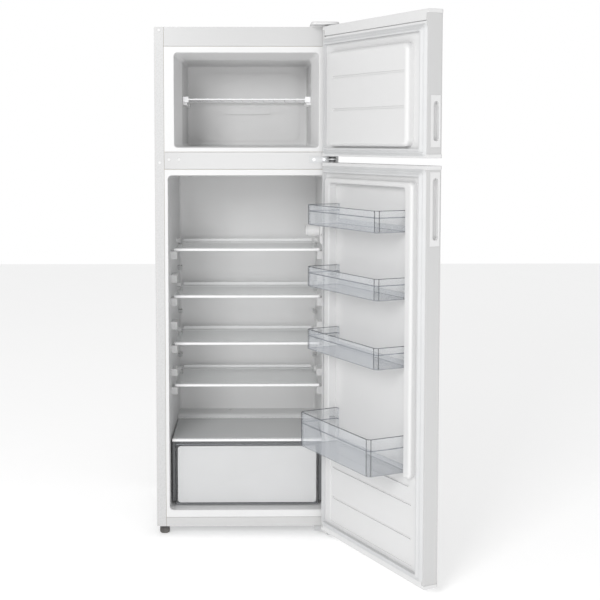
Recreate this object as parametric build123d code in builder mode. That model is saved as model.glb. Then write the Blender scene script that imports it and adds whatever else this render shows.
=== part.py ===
from build123d import *
import os

# Top freezer refrigerator, free standing, with two doors hinged on the right.
# Every piece is drawn in the cabinet's own axes, in millimetres: x to the right from the
# middle, y back from the front face, z up from the floor. finish() then moves it so that
# the part's origin is the middle of the front left foot's underside.
# Doors are drawn closed, and swung open about their hinge axis as they are finished.

# ---------------------------------------------------------------- driving dimensions
# Cabinet
WIDTH = 545.0
HEIGHT = 1526.0
BODY_DEPTH = 475.0
GROUND = 27.0               # floor to the cabinet's lower edge
SHEET = 1.0                 # painted steel
PANEL = 3.0                 # front panels, and the wall of the moulded liners
SEAM = 0.8                  # between neighbouring pieces of the front face
FLANGE = 28.0               # side sheet folded across the front face
SHELL_CORNER = 4.0

# Heights of the front face's bands, from the top down
TOP_BAND = 57.0
FREEZER_RIM_TOP = 18.0
FREEZER_OPENING = 279.0
FREEZER_RIM_BOTTOM = 13.0
RAIL_BAND = 52.0
FRIDGE_RIM_TOP = 18.0
FRIDGE_RIM_BOTTOM = 22.0
PLINTH_BAND = 28.0

# Freezer compartment
FREEZER_SIDE_WALL = 58.0    # cabinet's side to the freezer's mouth
FREEZER_BACK_WALL = 115.0
FREEZER_FLARE = 19.5        # mouth to box, on each side
FREEZER_FLARE_TOP = 17.0
FREEZER_FLARE_BOTTOM = 3.0
FREEZER_THROAT = 75.0       # depth of the flared mouth
FREEZER_SHELF_RISE = 142.0  # box floor to the wire shelf
FREEZER_SHELF_FRONT = 100.0
FREEZER_SHELF_BACK = 25.0   # shelf's rear wire to the back wall

# Fridge compartment
FRIDGE_SIDE_WALL = 39.0     # cabinet's side to the fridge's mouth
FRIDGE_BACK_WALL = 60.0
LINER_DRAFT = 6.0           # mouth to back, on each side
STEP_WALL = 35.0            # foam between the step and the machine compartment
MOUTH_CORNER = 12.0

# Glass shelves
SHELF_RISES = (365.5, 495.5, 641.5, 786.0)   # opening's floor to each shelf's top
LUG_REACH = 8.0             # shelf lugs and bumps, in over the shelf's side
UPSTAND_GAP = 4.0           # bumps' ends to the shelf's raised rear edge
SHELF_SIDE_GAP = 4.5        # shelf to the narrow end of the walls
SHELF_FRONT = 98.0
SHELF_BACK_GAP = 21.0
SHELF_THICK = 8.0
GLASS = 4.0
RUNNER_GAP = 0.3            # between what slides and what carries it

# Crisper
COVER_RISE = 209.0          # opening's floor to the cover's top
COVER_FRONT = 36.0
CRISPER_SIDE_GAP = 9.0
CRISPER_BACK_GAP = 10.0
CRISPER_HEIGHT = 196.0
CRISPER_FRONT = 45.0
CRISPER_WALL = 2.5
CRISPER_LIFT = 3.0          # opening's floor to the drawer's underside

# Doors
DOOR_THICK = 45.0
DOOR_GAP = 12.0             # cabinet face to door slab, taken up by the gasket
DOOR_TOP_DROP = 1.0         # cabinet top to the freezer door's top
DOOR_SPLIT = 19.0           # between the two doors
DOOR_SPLIT_DROP = 379.0     # cabinet top to the freezer door's lower edge
DOOR_GROUND = 22.0          # floor to the fridge door's lower edge
DOOR_CORNER = 5.0
CAP = 10.0                  # visible height of an end cap
CAP_PLUG = 18.0             # height of the cap's plug inside the skin
CAP_LIP = 1.2
OPEN_ANGLE = 116.0          # both doors stand open
HINGE_IN = 20.0             # door's side to the hinge axis
HINGE_OUT = 22.0            # door's inner plane to the hinge axis
PIN_RADIUS = 4.0
PIN_CLEARANCE = 0.1
PIN_REACH = 20.0            # pin's length inside a door cap
HINGE_PLATE = 3.0

# Gaskets
GASKET_IN = 5.0             # door's side to the gasket's outer foot
GASKET_WIDTH = 19.0
GASKET_SLOPE = 15.0         # the outer flank leans in by this much
GASKET_GAP = 0.5            # gasket face to cabinet face, door closed

# Door liners
RIDGE_PROUD = 19.5          # fridge door's ridges, above the door's inner plane
RIDGE_WIDTH = 30.0
RIDGE_CLEAR = 3.5           # ridge to the side of the fridge opening
BAR_WIDTH = 15.0
RECESS = 5.0                # between the ridges, below the door's inner plane
RIDGE_END_RISE = 229.0      # opening's floor to the ridges' lower ends
BLOCK_PROUD = 23.0          # freezer door's block
BLOCK_CLEAR = 4.5           # block to the freezer opening
GROOVE = 7.0
GROOVE_DEPTH = 3.0
GROOVE_SHIFT = 12.0         # freezer door's grooves start nearer the hinge
CAP_SEAM = (2.5, 5.0)       # height and depth of the seam under the freezer door's upper cap

# Door bins
BIN_SIDE_GAP = 12.5         # bin to the door liner's ridges
BIN_WALL = 2.2
BIN_REACH = 97.0            # door's inner plane to the bin's front
BIN_HEIGHT = 58.0
BIN_RISES = (518.0, 699.0, 876.0)            # opening's floor to each bin's floor
BOTTLE_REACH = 118.0
BOTTLE_HEIGHT = 100.0
BOTTLE_RISE = 237.0
PEG = 6.0

# Grips in the doors' free edges
GRIP_MARGIN = 16.0
GRIP_SLOT = 17.0
GRIP_DEPTH = 14.0
FREEZER_GRIP = (28.0, 161.0)                 # above the freezer door's lower edge
FRIDGE_GRIP = (16.0, 207.0)                  # below the fridge door's top

# Feet and rollers
FOOT_RADIUS = 14.5
FOOT_HEIGHT = 20.0
FOOT_STUD = 5.0
FOOT_IN = 21.5              # cabinet's side to the foot's axis
FOOT_BACK = 30.0
ROLLER_RADIUS = 13.0
ROLLER_WIDTH = 9.0
ROLLER_IN = 42.5
ROLLER_FROM_BACK = 35.0
AXLE_RADIUS = 2.5

# Machine compartment
BASE_SHEET = 1.5
MACHINE_DEPTH = 110.0
MACHINE_TOP = 260.0
COMPRESSOR_X = -60.0
COMPRESSOR_IN = 45.0        # cabinet's back to the compressor's axis
COMPRESSOR_RADIUS = 56.0
COMPRESSOR_HEIGHT = 150.0
COMPRESSOR_PLATE_Z = 42.0

# Condenser
CONDENSER_WIDTH = 440.0
CONDENSER_RUNS = 15
CONDENSER_PITCH = 72.0
CONDENSER_BOTTOM = 330.0
CONDENSER_STAND_OFF = 21.0
TUBE_RADIUS = 2.5

# ---------------------------------------------------------------- worked out from them
SIDE = WIDTH / 2
FREEZER_MOUTH = WIDTH - 2 * FREEZER_SIDE_WALL
FREEZER_BOX = FREEZER_MOUTH - 2 * FREEZER_FLARE
FREEZER_BOX_HEIGHT = FREEZER_OPENING - FREEZER_FLARE_TOP - FREEZER_FLARE_BOTTOM
FREEZER_DEPTH = BODY_DEPTH - FREEZER_BACK_WALL
FREEZER_SHELF_DEPTH = FREEZER_DEPTH - FREEZER_SHELF_BACK - FREEZER_SHELF_FRONT
FRIDGE_MOUTH = WIDTH - 2 * FRIDGE_SIDE_WALL
FRIDGE_BACK = FRIDGE_MOUTH - 2 * LINER_DRAFT
FRIDGE_DEPTH = BODY_DEPTH - FRIDGE_BACK_WALL
MACHINE_FRONT = BODY_DEPTH - MACHINE_DEPTH
STEP_FRONT = MACHINE_FRONT - STEP_WALL
STEP_TOP = MACHINE_TOP + STEP_WALL
SHELF_WIDTH = FRIDGE_BACK - 2 * SHELF_SIDE_GAP
SHELF_DEPTH = FRIDGE_DEPTH - SHELF_BACK_GAP - SHELF_FRONT
CRISPER_WIDTH = FRIDGE_BACK - 2 * CRISPER_SIDE_GAP
COMPRESSOR_Y = BODY_DEPTH - COMPRESSOR_IN
CONDENSER_Y = BODY_DEPTH + CONDENSER_STAND_OFF
ROLLER_BACK = BODY_DEPTH - ROLLER_FROM_BACK
FREEZER_TOP = HEIGHT - TOP_BAND - FREEZER_RIM_TOP
FREEZER_BOTTOM = FREEZER_TOP - FREEZER_OPENING
RAIL_TOP = FREEZER_BOTTOM - FREEZER_RIM_BOTTOM
RAIL_BOTTOM = RAIL_TOP - RAIL_BAND
FRIDGE_TOP = RAIL_BOTTOM - FRIDGE_RIM_TOP
FRIDGE_BOTTOM = GROUND + PLINTH_BAND + FRIDGE_RIM_BOTTOM
FACE_SIDE = SIDE - FLANGE - SEAM
FREEZER_BOX_BOTTOM = FREEZER_BOTTOM + FREEZER_FLARE_BOTTOM
COVER_TOP = FRIDGE_BOTTOM + COVER_RISE

DOOR_BACK = -DOOR_GAP
DOOR_FRONT = DOOR_BACK - DOOR_THICK
HINGE_X = SIDE - HINGE_IN
HINGE_Y = DOOR_BACK - HINGE_OUT
FREEZER_DOOR = (HEIGHT - DOOR_SPLIT_DROP, HEIGHT - DOOR_TOP_DROP)
FRIDGE_DOOR = (DOOR_GROUND, HEIGHT - DOOR_SPLIT_DROP - DOOR_SPLIT)
LINER_BACK = DOOR_BACK - RECESS - PANEL
GRIP_Y = (DOOR_FRONT + 6, LINER_BACK - 1)
RIDGE_OUT = FRIDGE_MOUTH / 2 - RIDGE_CLEAR
RIDGE_IN = RIDGE_OUT - RIDGE_WIDTH
BIN_WIDTH = 2 * (RIDGE_IN - BIN_SIDE_GAP)
RIDGE_TOP = FRIDGE_TOP - RIDGE_CLEAR
RIDGE_END = FRIDGE_BOTTOM + RIDGE_END_RISE

CABINET = Location((SIDE - FOOT_IN, -FOOT_BACK, 0))
SWUNG = (CABINET * Location((HINGE_X, HINGE_Y, 0), (0, 0, OPEN_ANGLE))
         * Location((-HINGE_X, -HINGE_Y, 0)))

os.makedirs("parts", exist_ok=True)


# ---------------------------------------------------------------- helpers
def finish(piece, name, place=CABINET):
    """Labels a finished piece, moves it to its place and writes its file."""
    piece.part.move(place)
    piece.part.label = name
    export_step(piece.part, f"parts/{name}.step")


def upright(y):
    """Plane parallel to the front face, y behind it, seen from the front."""
    return Plane.XZ.offset(-y)


def block(x, y, z, mode=Mode.ADD):
    """Box between the two values given for each axis."""
    with Locations((sum(x) / 2, sum(y) / 2, sum(z) / 2)):
        Box(abs(x[1] - x[0]), abs(y[1] - y[0]), abs(z[1] - z[0]), mode=mode)


def front_sketch(x, z, radius):
    """Rounded rectangle between two x and two z values, in an upright sketch."""
    with Locations((sum(x) / 2, sum(z) / 2)):
        RectangleRounded(x[1] - x[0], z[1] - z[0], radius)


def rod(start, end, radius, mode=Mode.ADD):
    """Round bar from one point to another."""
    axis = Vector(*end) - Vector(*start)
    with BuildSketch(Plane(start, z_dir=axis)) as end_face:
        Circle(radius)
    extrude(end_face.sketch, amount=axis.length, mode=mode)


def tube(points, bend, radius):
    """Bent tube along straight runs joined by arcs."""
    with BuildPart() as bent:
        with BuildLine():
            path = FilletPolyline(*points, radius=bend)
        with BuildSketch(Plane(path @ 0, z_dir=path % 0)):
            Circle(radius)
        sweep(path=path)
    return bent.part


# ---------------------------------------------------------------- outer shell and panels
with BuildPart() as outer_shell:
    with BuildSketch(upright(0)):
        with Locations((0, (HEIGHT + GROUND) / 2)):
            Rectangle(WIDTH, HEIGHT - GROUND)
    extrude(amount=-BODY_DEPTH)
    fillet(outer_shell.edges().filter_by(Axis.Y).group_by(Axis.Z)[-1], radius=SHELL_CORNER)
    with BuildSketch(upright(0)):
        with Locations((0, (HEIGHT - SHEET + GROUND) / 2)):
            Rectangle(WIDTH - 2 * SHEET, HEIGHT - SHEET - GROUND)
    extrude(amount=-BODY_DEPTH, mode=Mode.SUBTRACT)
    for side in (-1, 1):
        block((side * (SIDE - FLANGE), side * (SIDE - SHEET)), (0, SHEET), (GROUND, HEIGHT - SHEET))
    # holes for the plugs of the other hand's hinges
    PLUG_HOLE = 3.0
    FLANGE_HOLES = [(-SIDE + 15.0, RAIL_TOP - 32.0), (-SIDE + 15.0, HEIGHT - 9.5)]
    with BuildSketch(upright(0)):
        with Locations(*FLANGE_HOLES):
            Circle(PLUG_HOLE)
    extrude(amount=-SHEET, mode=Mode.SUBTRACT)
finish(outer_shell, "outer_shell")

RAIL_HOLE_Z = RAIL_TOP - 22.5
RAIL_HOLES = [(-200.0, RAIL_HOLE_Z), (-230.0, RAIL_HOLE_Z), (200.0, RAIL_HOLE_Z), (230.0, RAIL_HOLE_Z)]

with BuildPart() as top_front_panel:
    block((-FACE_SIDE, FACE_SIDE), (0, PANEL), (HEIGHT - TOP_BAND + SEAM / 2, HEIGHT - SHEET))
    chamfer(top_front_panel.edges().filter_by(Axis.X).group_by(Axis.Y)[0].sort_by(Axis.Z)[0], length=1.0)
finish(top_front_panel, "top_front_panel")

with BuildPart() as mid_rail:
    block((-FACE_SIDE, FACE_SIDE), (0, PANEL), (RAIL_BOTTOM + SEAM / 2, RAIL_TOP - SEAM / 2))
    chamfer(mid_rail.edges().filter_by(Axis.X).group_by(Axis.Y)[0], length=1.0)
    with BuildSketch(upright(0)):
        with Locations(*RAIL_HOLES):
            Circle(PLUG_HOLE)
    extrude(amount=-PANEL, mode=Mode.SUBTRACT)
finish(mid_rail, "mid_rail")

PLINTH_TOP = GROUND + PLINTH_BAND
with BuildPart() as bottom_front_panel:
    block((-FACE_SIDE, FACE_SIDE), (0, PANEL), (GROUND, PLINTH_TOP - SEAM / 2))
    chamfer(bottom_front_panel.edges().filter_by(Axis.X).group_by(Axis.Y)[0].sort_by(Axis.Z)[-1], length=1.0)
finish(bottom_front_panel, "bottom_front_panel")

PLUG_HEAD = 4.0
with BuildPart() as hole_plugs:
    for (x, z), depth in zip(RAIL_HOLES[:2] + FLANGE_HOLES, (PANEL, PANEL, SHEET, SHEET)):
        rod((x, 0, z), (x, -1.4, z), PLUG_HEAD)
        rod((x, 0, z), (x, depth, z), PLUG_HOLE - 0.05)
finish(hole_plugs, "hole_plugs")

BACK_BOTTOM = MACHINE_TOP + BASE_SHEET
PAD_RISE = 2.0
with BuildPart() as back_panel:
    block((-SIDE + SHEET, SIDE - SHEET), (BODY_DEPTH - 1.5, BODY_DEPTH), (BACK_BOTTOM, HEIGHT - SHEET))
    # three stiffening pads pressed out of the sheet
    PAD_PITCH = (HEIGHT - BACK_BOTTOM) / 3
    with BuildSketch(upright(BODY_DEPTH)):
        for row in range(3):
            with Locations((0, BACK_BOTTOM + PAD_PITCH * (row + 0.5))):
                RectangleRounded(WIDTH - 90, PAD_PITCH - 60, 30)
    extrude(amount=-PAD_RISE)
finish(back_panel, "back_panel")


# ---------------------------------------------------------------- moulded liners
def freezer_space(wall):
    """Freezer compartment, grown outwards by a wall."""
    x = (-FREEZER_BOX / 2 - wall, FREEZER_BOX / 2 + wall)
    z = (FREEZER_BOX_BOTTOM - wall, FREEZER_BOX_BOTTOM + FREEZER_BOX_HEIGHT + wall)
    mouth = FREEZER_MOUTH / 2 + wall
    with BuildPart() as space:
        with BuildSketch(upright(0)):
            front_sketch((-mouth, mouth), (FREEZER_BOTTOM - wall, FREEZER_TOP + wall), 10 + wall)
        with BuildSketch(upright(FREEZER_THROAT)):
            front_sketch(x, z, 10 + wall)
        loft()
        with BuildSketch(upright(FREEZER_THROAT)):
            front_sketch(x, z, 10 + wall)
        extrude(amount=FREEZER_THROAT - FREEZER_DEPTH - wall)
        fillet(space.faces().sort_by(Axis.Y)[-1].edges(), radius=8 + wall)
    return space.part


def fridge_space(wall):
    """Fridge compartment with its step over the compressor, grown outwards by a wall."""
    mouth, back = FRIDGE_MOUTH / 2 + wall, FRIDGE_BACK / 2 + wall
    with BuildPart() as space:
        with BuildSketch(upright(0)):
            front_sketch((-mouth, mouth), (FRIDGE_BOTTOM - wall, FRIDGE_TOP + wall), MOUTH_CORNER + wall)
        with BuildSketch(upright(FRIDGE_DEPTH + wall)):
            front_sketch((-back, back),
                         (FRIDGE_BOTTOM + LINER_DRAFT / 2 - wall, FRIDGE_TOP - LINER_DRAFT + wall),
                         MOUTH_CORNER + wall)
        loft()
        fillet(space.faces().sort_by(Axis.Y)[-1].edges(), radius=MOUTH_CORNER - 2 + wall)
        block((-SIDE, SIDE), (STEP_FRONT + wall, BODY_DEPTH), (0, STEP_TOP - wall), mode=Mode.SUBTRACT)
        step_edge = space.edges().filter_by(Axis.X).filter_by(
            lambda edge: abs(edge.center().Y - STEP_FRONT - wall) < 1
            and abs(edge.center().Z - STEP_TOP + wall) < 1)
        fillet(step_edge, radius=16 - wall)
    return space.part


def wall_x(y):
    """Half the fridge compartment's width at a depth."""
    return FRIDGE_MOUTH / 2 - LINER_DRAFT * y / FRIDGE_DEPTH


FREEZER_INSIDE, FREEZER_OUTSIDE = freezer_space(0), freezer_space(PANEL)
FRIDGE_INSIDE, FRIDGE_OUTSIDE = fridge_space(0), fridge_space(PANEL)
SHELF_Z = FREEZER_BOX_BOTTOM + FREEZER_SHELF_RISE
FREEZER_BOX_TOP = FREEZER_BOX_BOTTOM + FREEZER_BOX_HEIGHT
LEDGE_DROP = 9.0            # wire shelf's axis to its ledges

with BuildPart() as freezer_liner:
    add(FREEZER_OUTSIDE)
    block((-FACE_SIDE, FACE_SIDE), (0, PANEL), (RAIL_TOP + SEAM / 2, HEIGHT - TOP_BAND - SEAM / 2))
    add(FREEZER_INSIDE, mode=Mode.SUBTRACT)
    fillet(freezer_liner.edges().group_by(Axis.Y)[0].filter_by(
        lambda edge: abs(edge.center().X) < FREEZER_MOUTH / 2 + 1
        and FREEZER_BOTTOM - 1 < edge.center().Z < FREEZER_TOP + 1), radius=2.0)
    # pad pressed into the back wall, with a shallow finger lip
    with BuildSketch(upright(FREEZER_DEPTH + 0.5)):
        front_sketch((-170, 170), (FREEZER_BOX_BOTTOM + 16, FREEZER_BOX_TOP - 24), 28)
    extrude(amount=3.0)
    with BuildSketch(upright(FREEZER_DEPTH)):
        front_sketch((-72, 74), (SHELF_Z - 40, SHELF_Z - 20), 6)
    extrude(amount=8.0)
    # ledges that carry the wire shelf
    for side in (-1, 1):
        for y in (FREEZER_SHELF_FRONT + 25, FREEZER_DEPTH - 70):
            block((side * (FREEZER_BOX / 2 - 14), side * (FREEZER_BOX / 2 + 1)), (y - 22, y + 22),
                  (SHELF_Z - LEDGE_DROP - 8, SHELF_Z - LEDGE_DROP))
finish(freezer_liner, "freezer_liner")

SHELF_TOPS = [FRIDGE_BOTTOM + rise for rise in SHELF_RISES]
RUNNER_TOPS = SHELF_TOPS + [top - 72.5 for top in SHELF_TOPS[1:]]
HOUSING_Z = FRIDGE_BOTTOM + 839.0


def lug_profile(front, back, top, drop):
    """Corners of a shelf lug seen from the side, narrower at its lower end."""
    return (front, top), (back, top), (back - 12, top - drop), (front + 22, top - drop)


with BuildPart() as shelf_lugs:
    for side in (-1, 1):
        inner = side * (SHELF_WIDTH / 2 - LUG_REACH)
        for top in RUNNER_TOPS:
            # front and rear lugs under the shelf
            for front, back, drop in ((88.0, 150.0, 26.0),
                                      (SHELF_FRONT + SHELF_DEPTH - 44, SHELF_FRONT + SHELF_DEPTH - 2, 14.0)):
                with BuildSketch(Plane.YZ.offset(inner)):
                    with BuildLine():
                        Polyline(*lug_profile(front, back, top - SHELF_THICK - RUNNER_GAP, drop), close=True)
                    make_face()
                extrude(amount=side * (wall_x((front + back) / 2) + 1.4 - abs(inner)))
        for top in SHELF_TOPS:
            # stop above the shelf that keeps it from tipping
            bump = (inner, 300.0, top + RUNNER_GAP + 9)
            rod(bump, (side * (wall_x(bump[1]) + 1.2), bump[1], bump[2]), 8.5)
    reach = SHELF_WIDTH / 2 - LUG_REACH
    lug_ends = shelf_lugs.faces().filter_by(lambda face: abs(abs(face.center().X) - reach) < 0.1)
    fillet(lug_ends.edges(),
           radius=2.5)

DRAIN = (COMPRESSOR_X, FRIDGE_DEPTH - 19.0)
DRAIN_RADIUS = 7.0
DRAIN_GAP = 0.2             # drain tube to its hole in the base pan
with BuildPart() as fridge_liner:
    add(FRIDGE_OUTSIDE)
    block((-FACE_SIDE, FACE_SIDE), (0, PANEL), (PLINTH_TOP + SEAM / 2, RAIL_BOTTOM - SEAM / 2))
    add(FRIDGE_INSIDE, mode=Mode.SUBTRACT)
    fillet(fridge_liner.edges().group_by(Axis.Y)[0].filter_by(
        lambda edge: abs(edge.center().X) < FRIDGE_MOUTH / 2 + 1
        and FRIDGE_BOTTOM - 1 < edge.center().Z < FRIDGE_TOP + 1), radius=2.0)
    add(shelf_lugs.part)
    # drain hole in the step
    rod((*DRAIN, STEP_TOP - PANEL), (*DRAIN, STEP_TOP), DRAIN_RADIUS, mode=Mode.SUBTRACT)
finish(fridge_liner, "fridge_liner")


# ---------------------------------------------------------------- base pan and machine compartment
RAIL_X = (SIDE - 60, SIDE - 25)
with BuildPart() as base_pan:
    edge_x = (-SIDE + SHEET, SIDE - SHEET)
    block(edge_x, (PANEL, MACHINE_FRONT + BASE_SHEET), (GROUND, GROUND + BASE_SHEET))
    block(edge_x, (MACHINE_FRONT, MACHINE_FRONT + BASE_SHEET), (GROUND, MACHINE_TOP + BASE_SHEET))
    block(edge_x, (MACHINE_FRONT, BODY_DEPTH), (MACHINE_TOP, MACHINE_TOP + BASE_SHEET))
    block(edge_x, (MACHINE_FRONT, BODY_DEPTH), (COMPRESSOR_PLATE_Z - BASE_SHEET, COMPRESSOR_PLATE_Z))
    for side in (-1, 1):
        roller_x = side * (SIDE - ROLLER_IN)
        # stiffening channel, with the roller's ears below it
        block((side * RAIL_X[0], side * RAIL_X[1]), (MACHINE_FRONT, ROLLER_BACK - 22),
              (GROUND, COMPRESSOR_PLATE_Z - BASE_SHEET))
        for ear in (-1, 1):
            middle = roller_x + ear * (ROLLER_WIDTH / 2 + 2.5)
            block((middle - 1.5, middle + 1.5), (ROLLER_BACK - 9, ROLLER_BACK + 9),
                  (ROLLER_RADIUS - 6, COMPRESSOR_PLATE_Z))
        half = ROLLER_WIDTH / 2 + 4
        rod((roller_x - half, ROLLER_BACK, ROLLER_RADIUS), (roller_x + half, ROLLER_BACK, ROLLER_RADIUS),
            AXLE_RADIUS)
        # threaded boss of the front foot
        foot = (side * (SIDE - FOOT_IN), FOOT_BACK)
        rod((*foot, GROUND), (*foot, GROUND + 14), FOOT_STUD + 4)
        rod((*foot, GROUND), (*foot, GROUND + 14), FOOT_STUD + PIN_CLEARANCE, mode=Mode.SUBTRACT)
    rod((DRAIN[0], DRAIN[1], MACHINE_TOP), (DRAIN[0], DRAIN[1], MACHINE_TOP + BASE_SHEET),
        DRAIN_RADIUS + DRAIN_GAP,
        mode=Mode.SUBTRACT)
finish(base_pan, "base_pan")

with BuildPart() as drain_tube:
    rod((*DRAIN, MACHINE_TOP - 12), (*DRAIN, STEP_TOP - 1), DRAIN_RADIUS)
    rod((*DRAIN, MACHINE_TOP - 12), (*DRAIN, STEP_TOP - 1), DRAIN_RADIUS - 1.5, mode=Mode.SUBTRACT)
finish(drain_tube, "drain_tube")

EVAPORATOR = 1.5
with BuildPart() as freezer_evaporator:
    with BuildSketch(upright(FREEZER_THROAT + 20)):
        grown = PANEL + EVAPORATOR
        front_sketch((-FREEZER_BOX / 2 - grown, FREEZER_BOX / 2 + grown),
                     (FREEZER_BOX_BOTTOM - grown, FREEZER_BOX_TOP + grown), 8 + grown)
        with Locations((0, FREEZER_BOX_BOTTOM + FREEZER_BOX_HEIGHT / 2)):
            RectangleRounded(FREEZER_BOX + 2 * PANEL, FREEZER_BOX_HEIGHT + 2 * PANEL, 8 + PANEL,
                             mode=Mode.SUBTRACT)
    extrude(amount=-(FREEZER_DEPTH - FREEZER_THROAT - 50))
FREEZER_COIL = freezer_evaporator.part
with BuildPart() as fridge_evaporator:
    with BuildSketch(upright(FRIDGE_DEPTH + PANEL)):
        front_sketch((-190, 190), (FRIDGE_TOP - 430, FRIDGE_TOP - 90), 12)
    extrude(amount=-EVAPORATOR)
FRIDGE_COIL = fridge_evaporator.part

with BuildPart() as cabinet_foam:
    block((-SIDE + SHEET, SIDE - SHEET), (SHEET, BODY_DEPTH - 1.5), (GROUND + BASE_SHEET, HEIGHT - SHEET))
    fillet(cabinet_foam.edges().filter_by(Axis.Y).group_by(Axis.Z)[-1], radius=SHELL_CORNER)
    block((-SIDE + FLANGE, SIDE - FLANGE), (0, PANEL), (GROUND, HEIGHT), mode=Mode.SUBTRACT)
    block((-SIDE, SIDE), (MACHINE_FRONT, BODY_DEPTH), (GROUND, BACK_BOTTOM), mode=Mode.SUBTRACT)
    for solid in (FREEZER_OUTSIDE, FRIDGE_OUTSIDE, FREEZER_COIL, FRIDGE_COIL):
        add(solid, mode=Mode.SUBTRACT)
    rod((*DRAIN, MACHINE_TOP), (*DRAIN, STEP_TOP), DRAIN_RADIUS, mode=Mode.SUBTRACT)
    for side in (-1, 1):
        foot = (side * (SIDE - FOOT_IN), FOOT_BACK)
        rod((*foot, GROUND), (*foot, GROUND + 20), FOOT_STUD + 4, mode=Mode.SUBTRACT)
finish(cabinet_foam, "cabinet_foam")
finish(freezer_evaporator, "freezer_evaporator")
finish(fridge_evaporator, "fridge_evaporator")

# ---------------------------------------------------------------- feet and rollers
for side, name in ((-1, "front_left_foot"), (1, "front_right_foot")):
    foot_x = side * (SIDE - FOOT_IN)
    with BuildPart() as front_foot:
        rod((foot_x, FOOT_BACK, 0), (foot_x, FOOT_BACK, FOOT_HEIGHT), FOOT_RADIUS)
        fillet(front_foot.edges().filter_by(GeomType.CIRCLE).group_by(Axis.Z)[-1], radius=3.0)
        chamfer(front_foot.edges().filter_by(GeomType.CIRCLE).group_by(Axis.Z)[0], length=1.5)
        rod((foot_x, FOOT_BACK, FOOT_HEIGHT), (foot_x, FOOT_BACK, GROUND + 17), FOOT_STUD)
    finish(front_foot, name)

for side, name in ((-1, "rear_left_roller"), (1, "rear_right_roller")):
    roller_x = side * (SIDE - ROLLER_IN)
    ends = ((roller_x - ROLLER_WIDTH / 2, ROLLER_BACK, ROLLER_RADIUS),
            (roller_x + ROLLER_WIDTH / 2, ROLLER_BACK, ROLLER_RADIUS))
    with BuildPart() as rear_roller:
        rod(*ends, ROLLER_RADIUS)
        chamfer(rear_roller.edges().filter_by(GeomType.CIRCLE), length=1.0)
        rod(*ends, AXLE_RADIUS + PIN_CLEARANCE, mode=Mode.SUBTRACT)
    finish(rear_roller, name)

# ---------------------------------------------------------------- compressor and its circuit
MACHINE_X = COMPRESSOR_X
with BuildPart() as compressor:
    with BuildSketch(Plane.XY.offset(COMPRESSOR_PLATE_Z + 14)):
        with Locations((MACHINE_X, COMPRESSOR_Y)):
            Ellipse(COMPRESSOR_RADIUS + 16, COMPRESSOR_RADIUS)
    extrude(amount=COMPRESSOR_HEIGHT)
    fillet(compressor.edges().group_by(Axis.Z)[-1], radius=38)
    fillet(compressor.edges().group_by(Axis.Z)[0], radius=20)
    # weld seam round the shell, and the foot plate on four bushes
    with BuildSketch(Plane.XY.offset(COMPRESSOR_PLATE_Z + 84)):
        with Locations((MACHINE_X, COMPRESSOR_Y)):
            Ellipse(COMPRESSOR_RADIUS + 19, COMPRESSOR_RADIUS + 3)
    extrude(amount=5)
    block((MACHINE_X - 92, MACHINE_X + 92), (COMPRESSOR_Y - 48, COMPRESSOR_Y + 30),
          (COMPRESSOR_PLATE_Z + 12, COMPRESSOR_PLATE_Z + 15))
    for x in (-82, 82):
        for y in (-38, 20):
            bush = (MACHINE_X + x, COMPRESSOR_Y + y)
            rod((*bush, COMPRESSOR_PLATE_Z), (*bush, COMPRESSOR_PLATE_Z + 12), 9)
finish(compressor, "compressor")

RELAY_X = (MACHINE_X + COMPRESSOR_RADIUS + 16, MACHINE_X + COMPRESSOR_RADIUS + 62)
RELAY_Z = (COMPRESSOR_PLATE_Z + 40, COMPRESSOR_PLATE_Z + 110)
with BuildPart() as relay_box:
    block(RELAY_X, (COMPRESSOR_Y - 30, COMPRESSOR_Y + 30), RELAY_Z)
    fillet(relay_box.edges().filter_by(Axis.Y), radius=6)
    with BuildSketch(Plane.XY.offset(COMPRESSOR_PLATE_Z + 84 - 1)):
        with Locations((MACHINE_X, COMPRESSOR_Y)):
            Ellipse(COMPRESSOR_RADIUS + 20, COMPRESSOR_RADIUS + 4)
    extrude(amount=7, mode=Mode.SUBTRACT)
    # inlet of the mains lead, facing back
    inlet = (RELAY_X[1] - 16, RELAY_Z[1] - 18)
    rod((inlet[0], COMPRESSOR_Y + 30, inlet[1]), (inlet[0], COMPRESSOR_Y + 38, inlet[1]), 8)
    rod((inlet[0], COMPRESSOR_Y + 12, inlet[1]), (inlet[0], COMPRESSOR_Y + 38, inlet[1]), 4,
        mode=Mode.SUBTRACT)
finish(relay_box, "relay_box")

TRAY_Z = COMPRESSOR_PLATE_Z + 14 + COMPRESSOR_HEIGHT
with BuildPart() as drip_tray:
    tray_x, tray_y = (MACHINE_X - 80, MACHINE_X + 80), (MACHINE_FRONT + 6, MACHINE_FRONT + 106)
    block(tray_x, tray_y, (TRAY_Z, TRAY_Z + 32))
    fillet(drip_tray.edges().filter_by(Axis.Z), radius=12)
    offset(amount=-2.0, openings=drip_tray.faces().sort_by(Axis.Z)[-1])
finish(drip_tray, "drip_tray")

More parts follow.
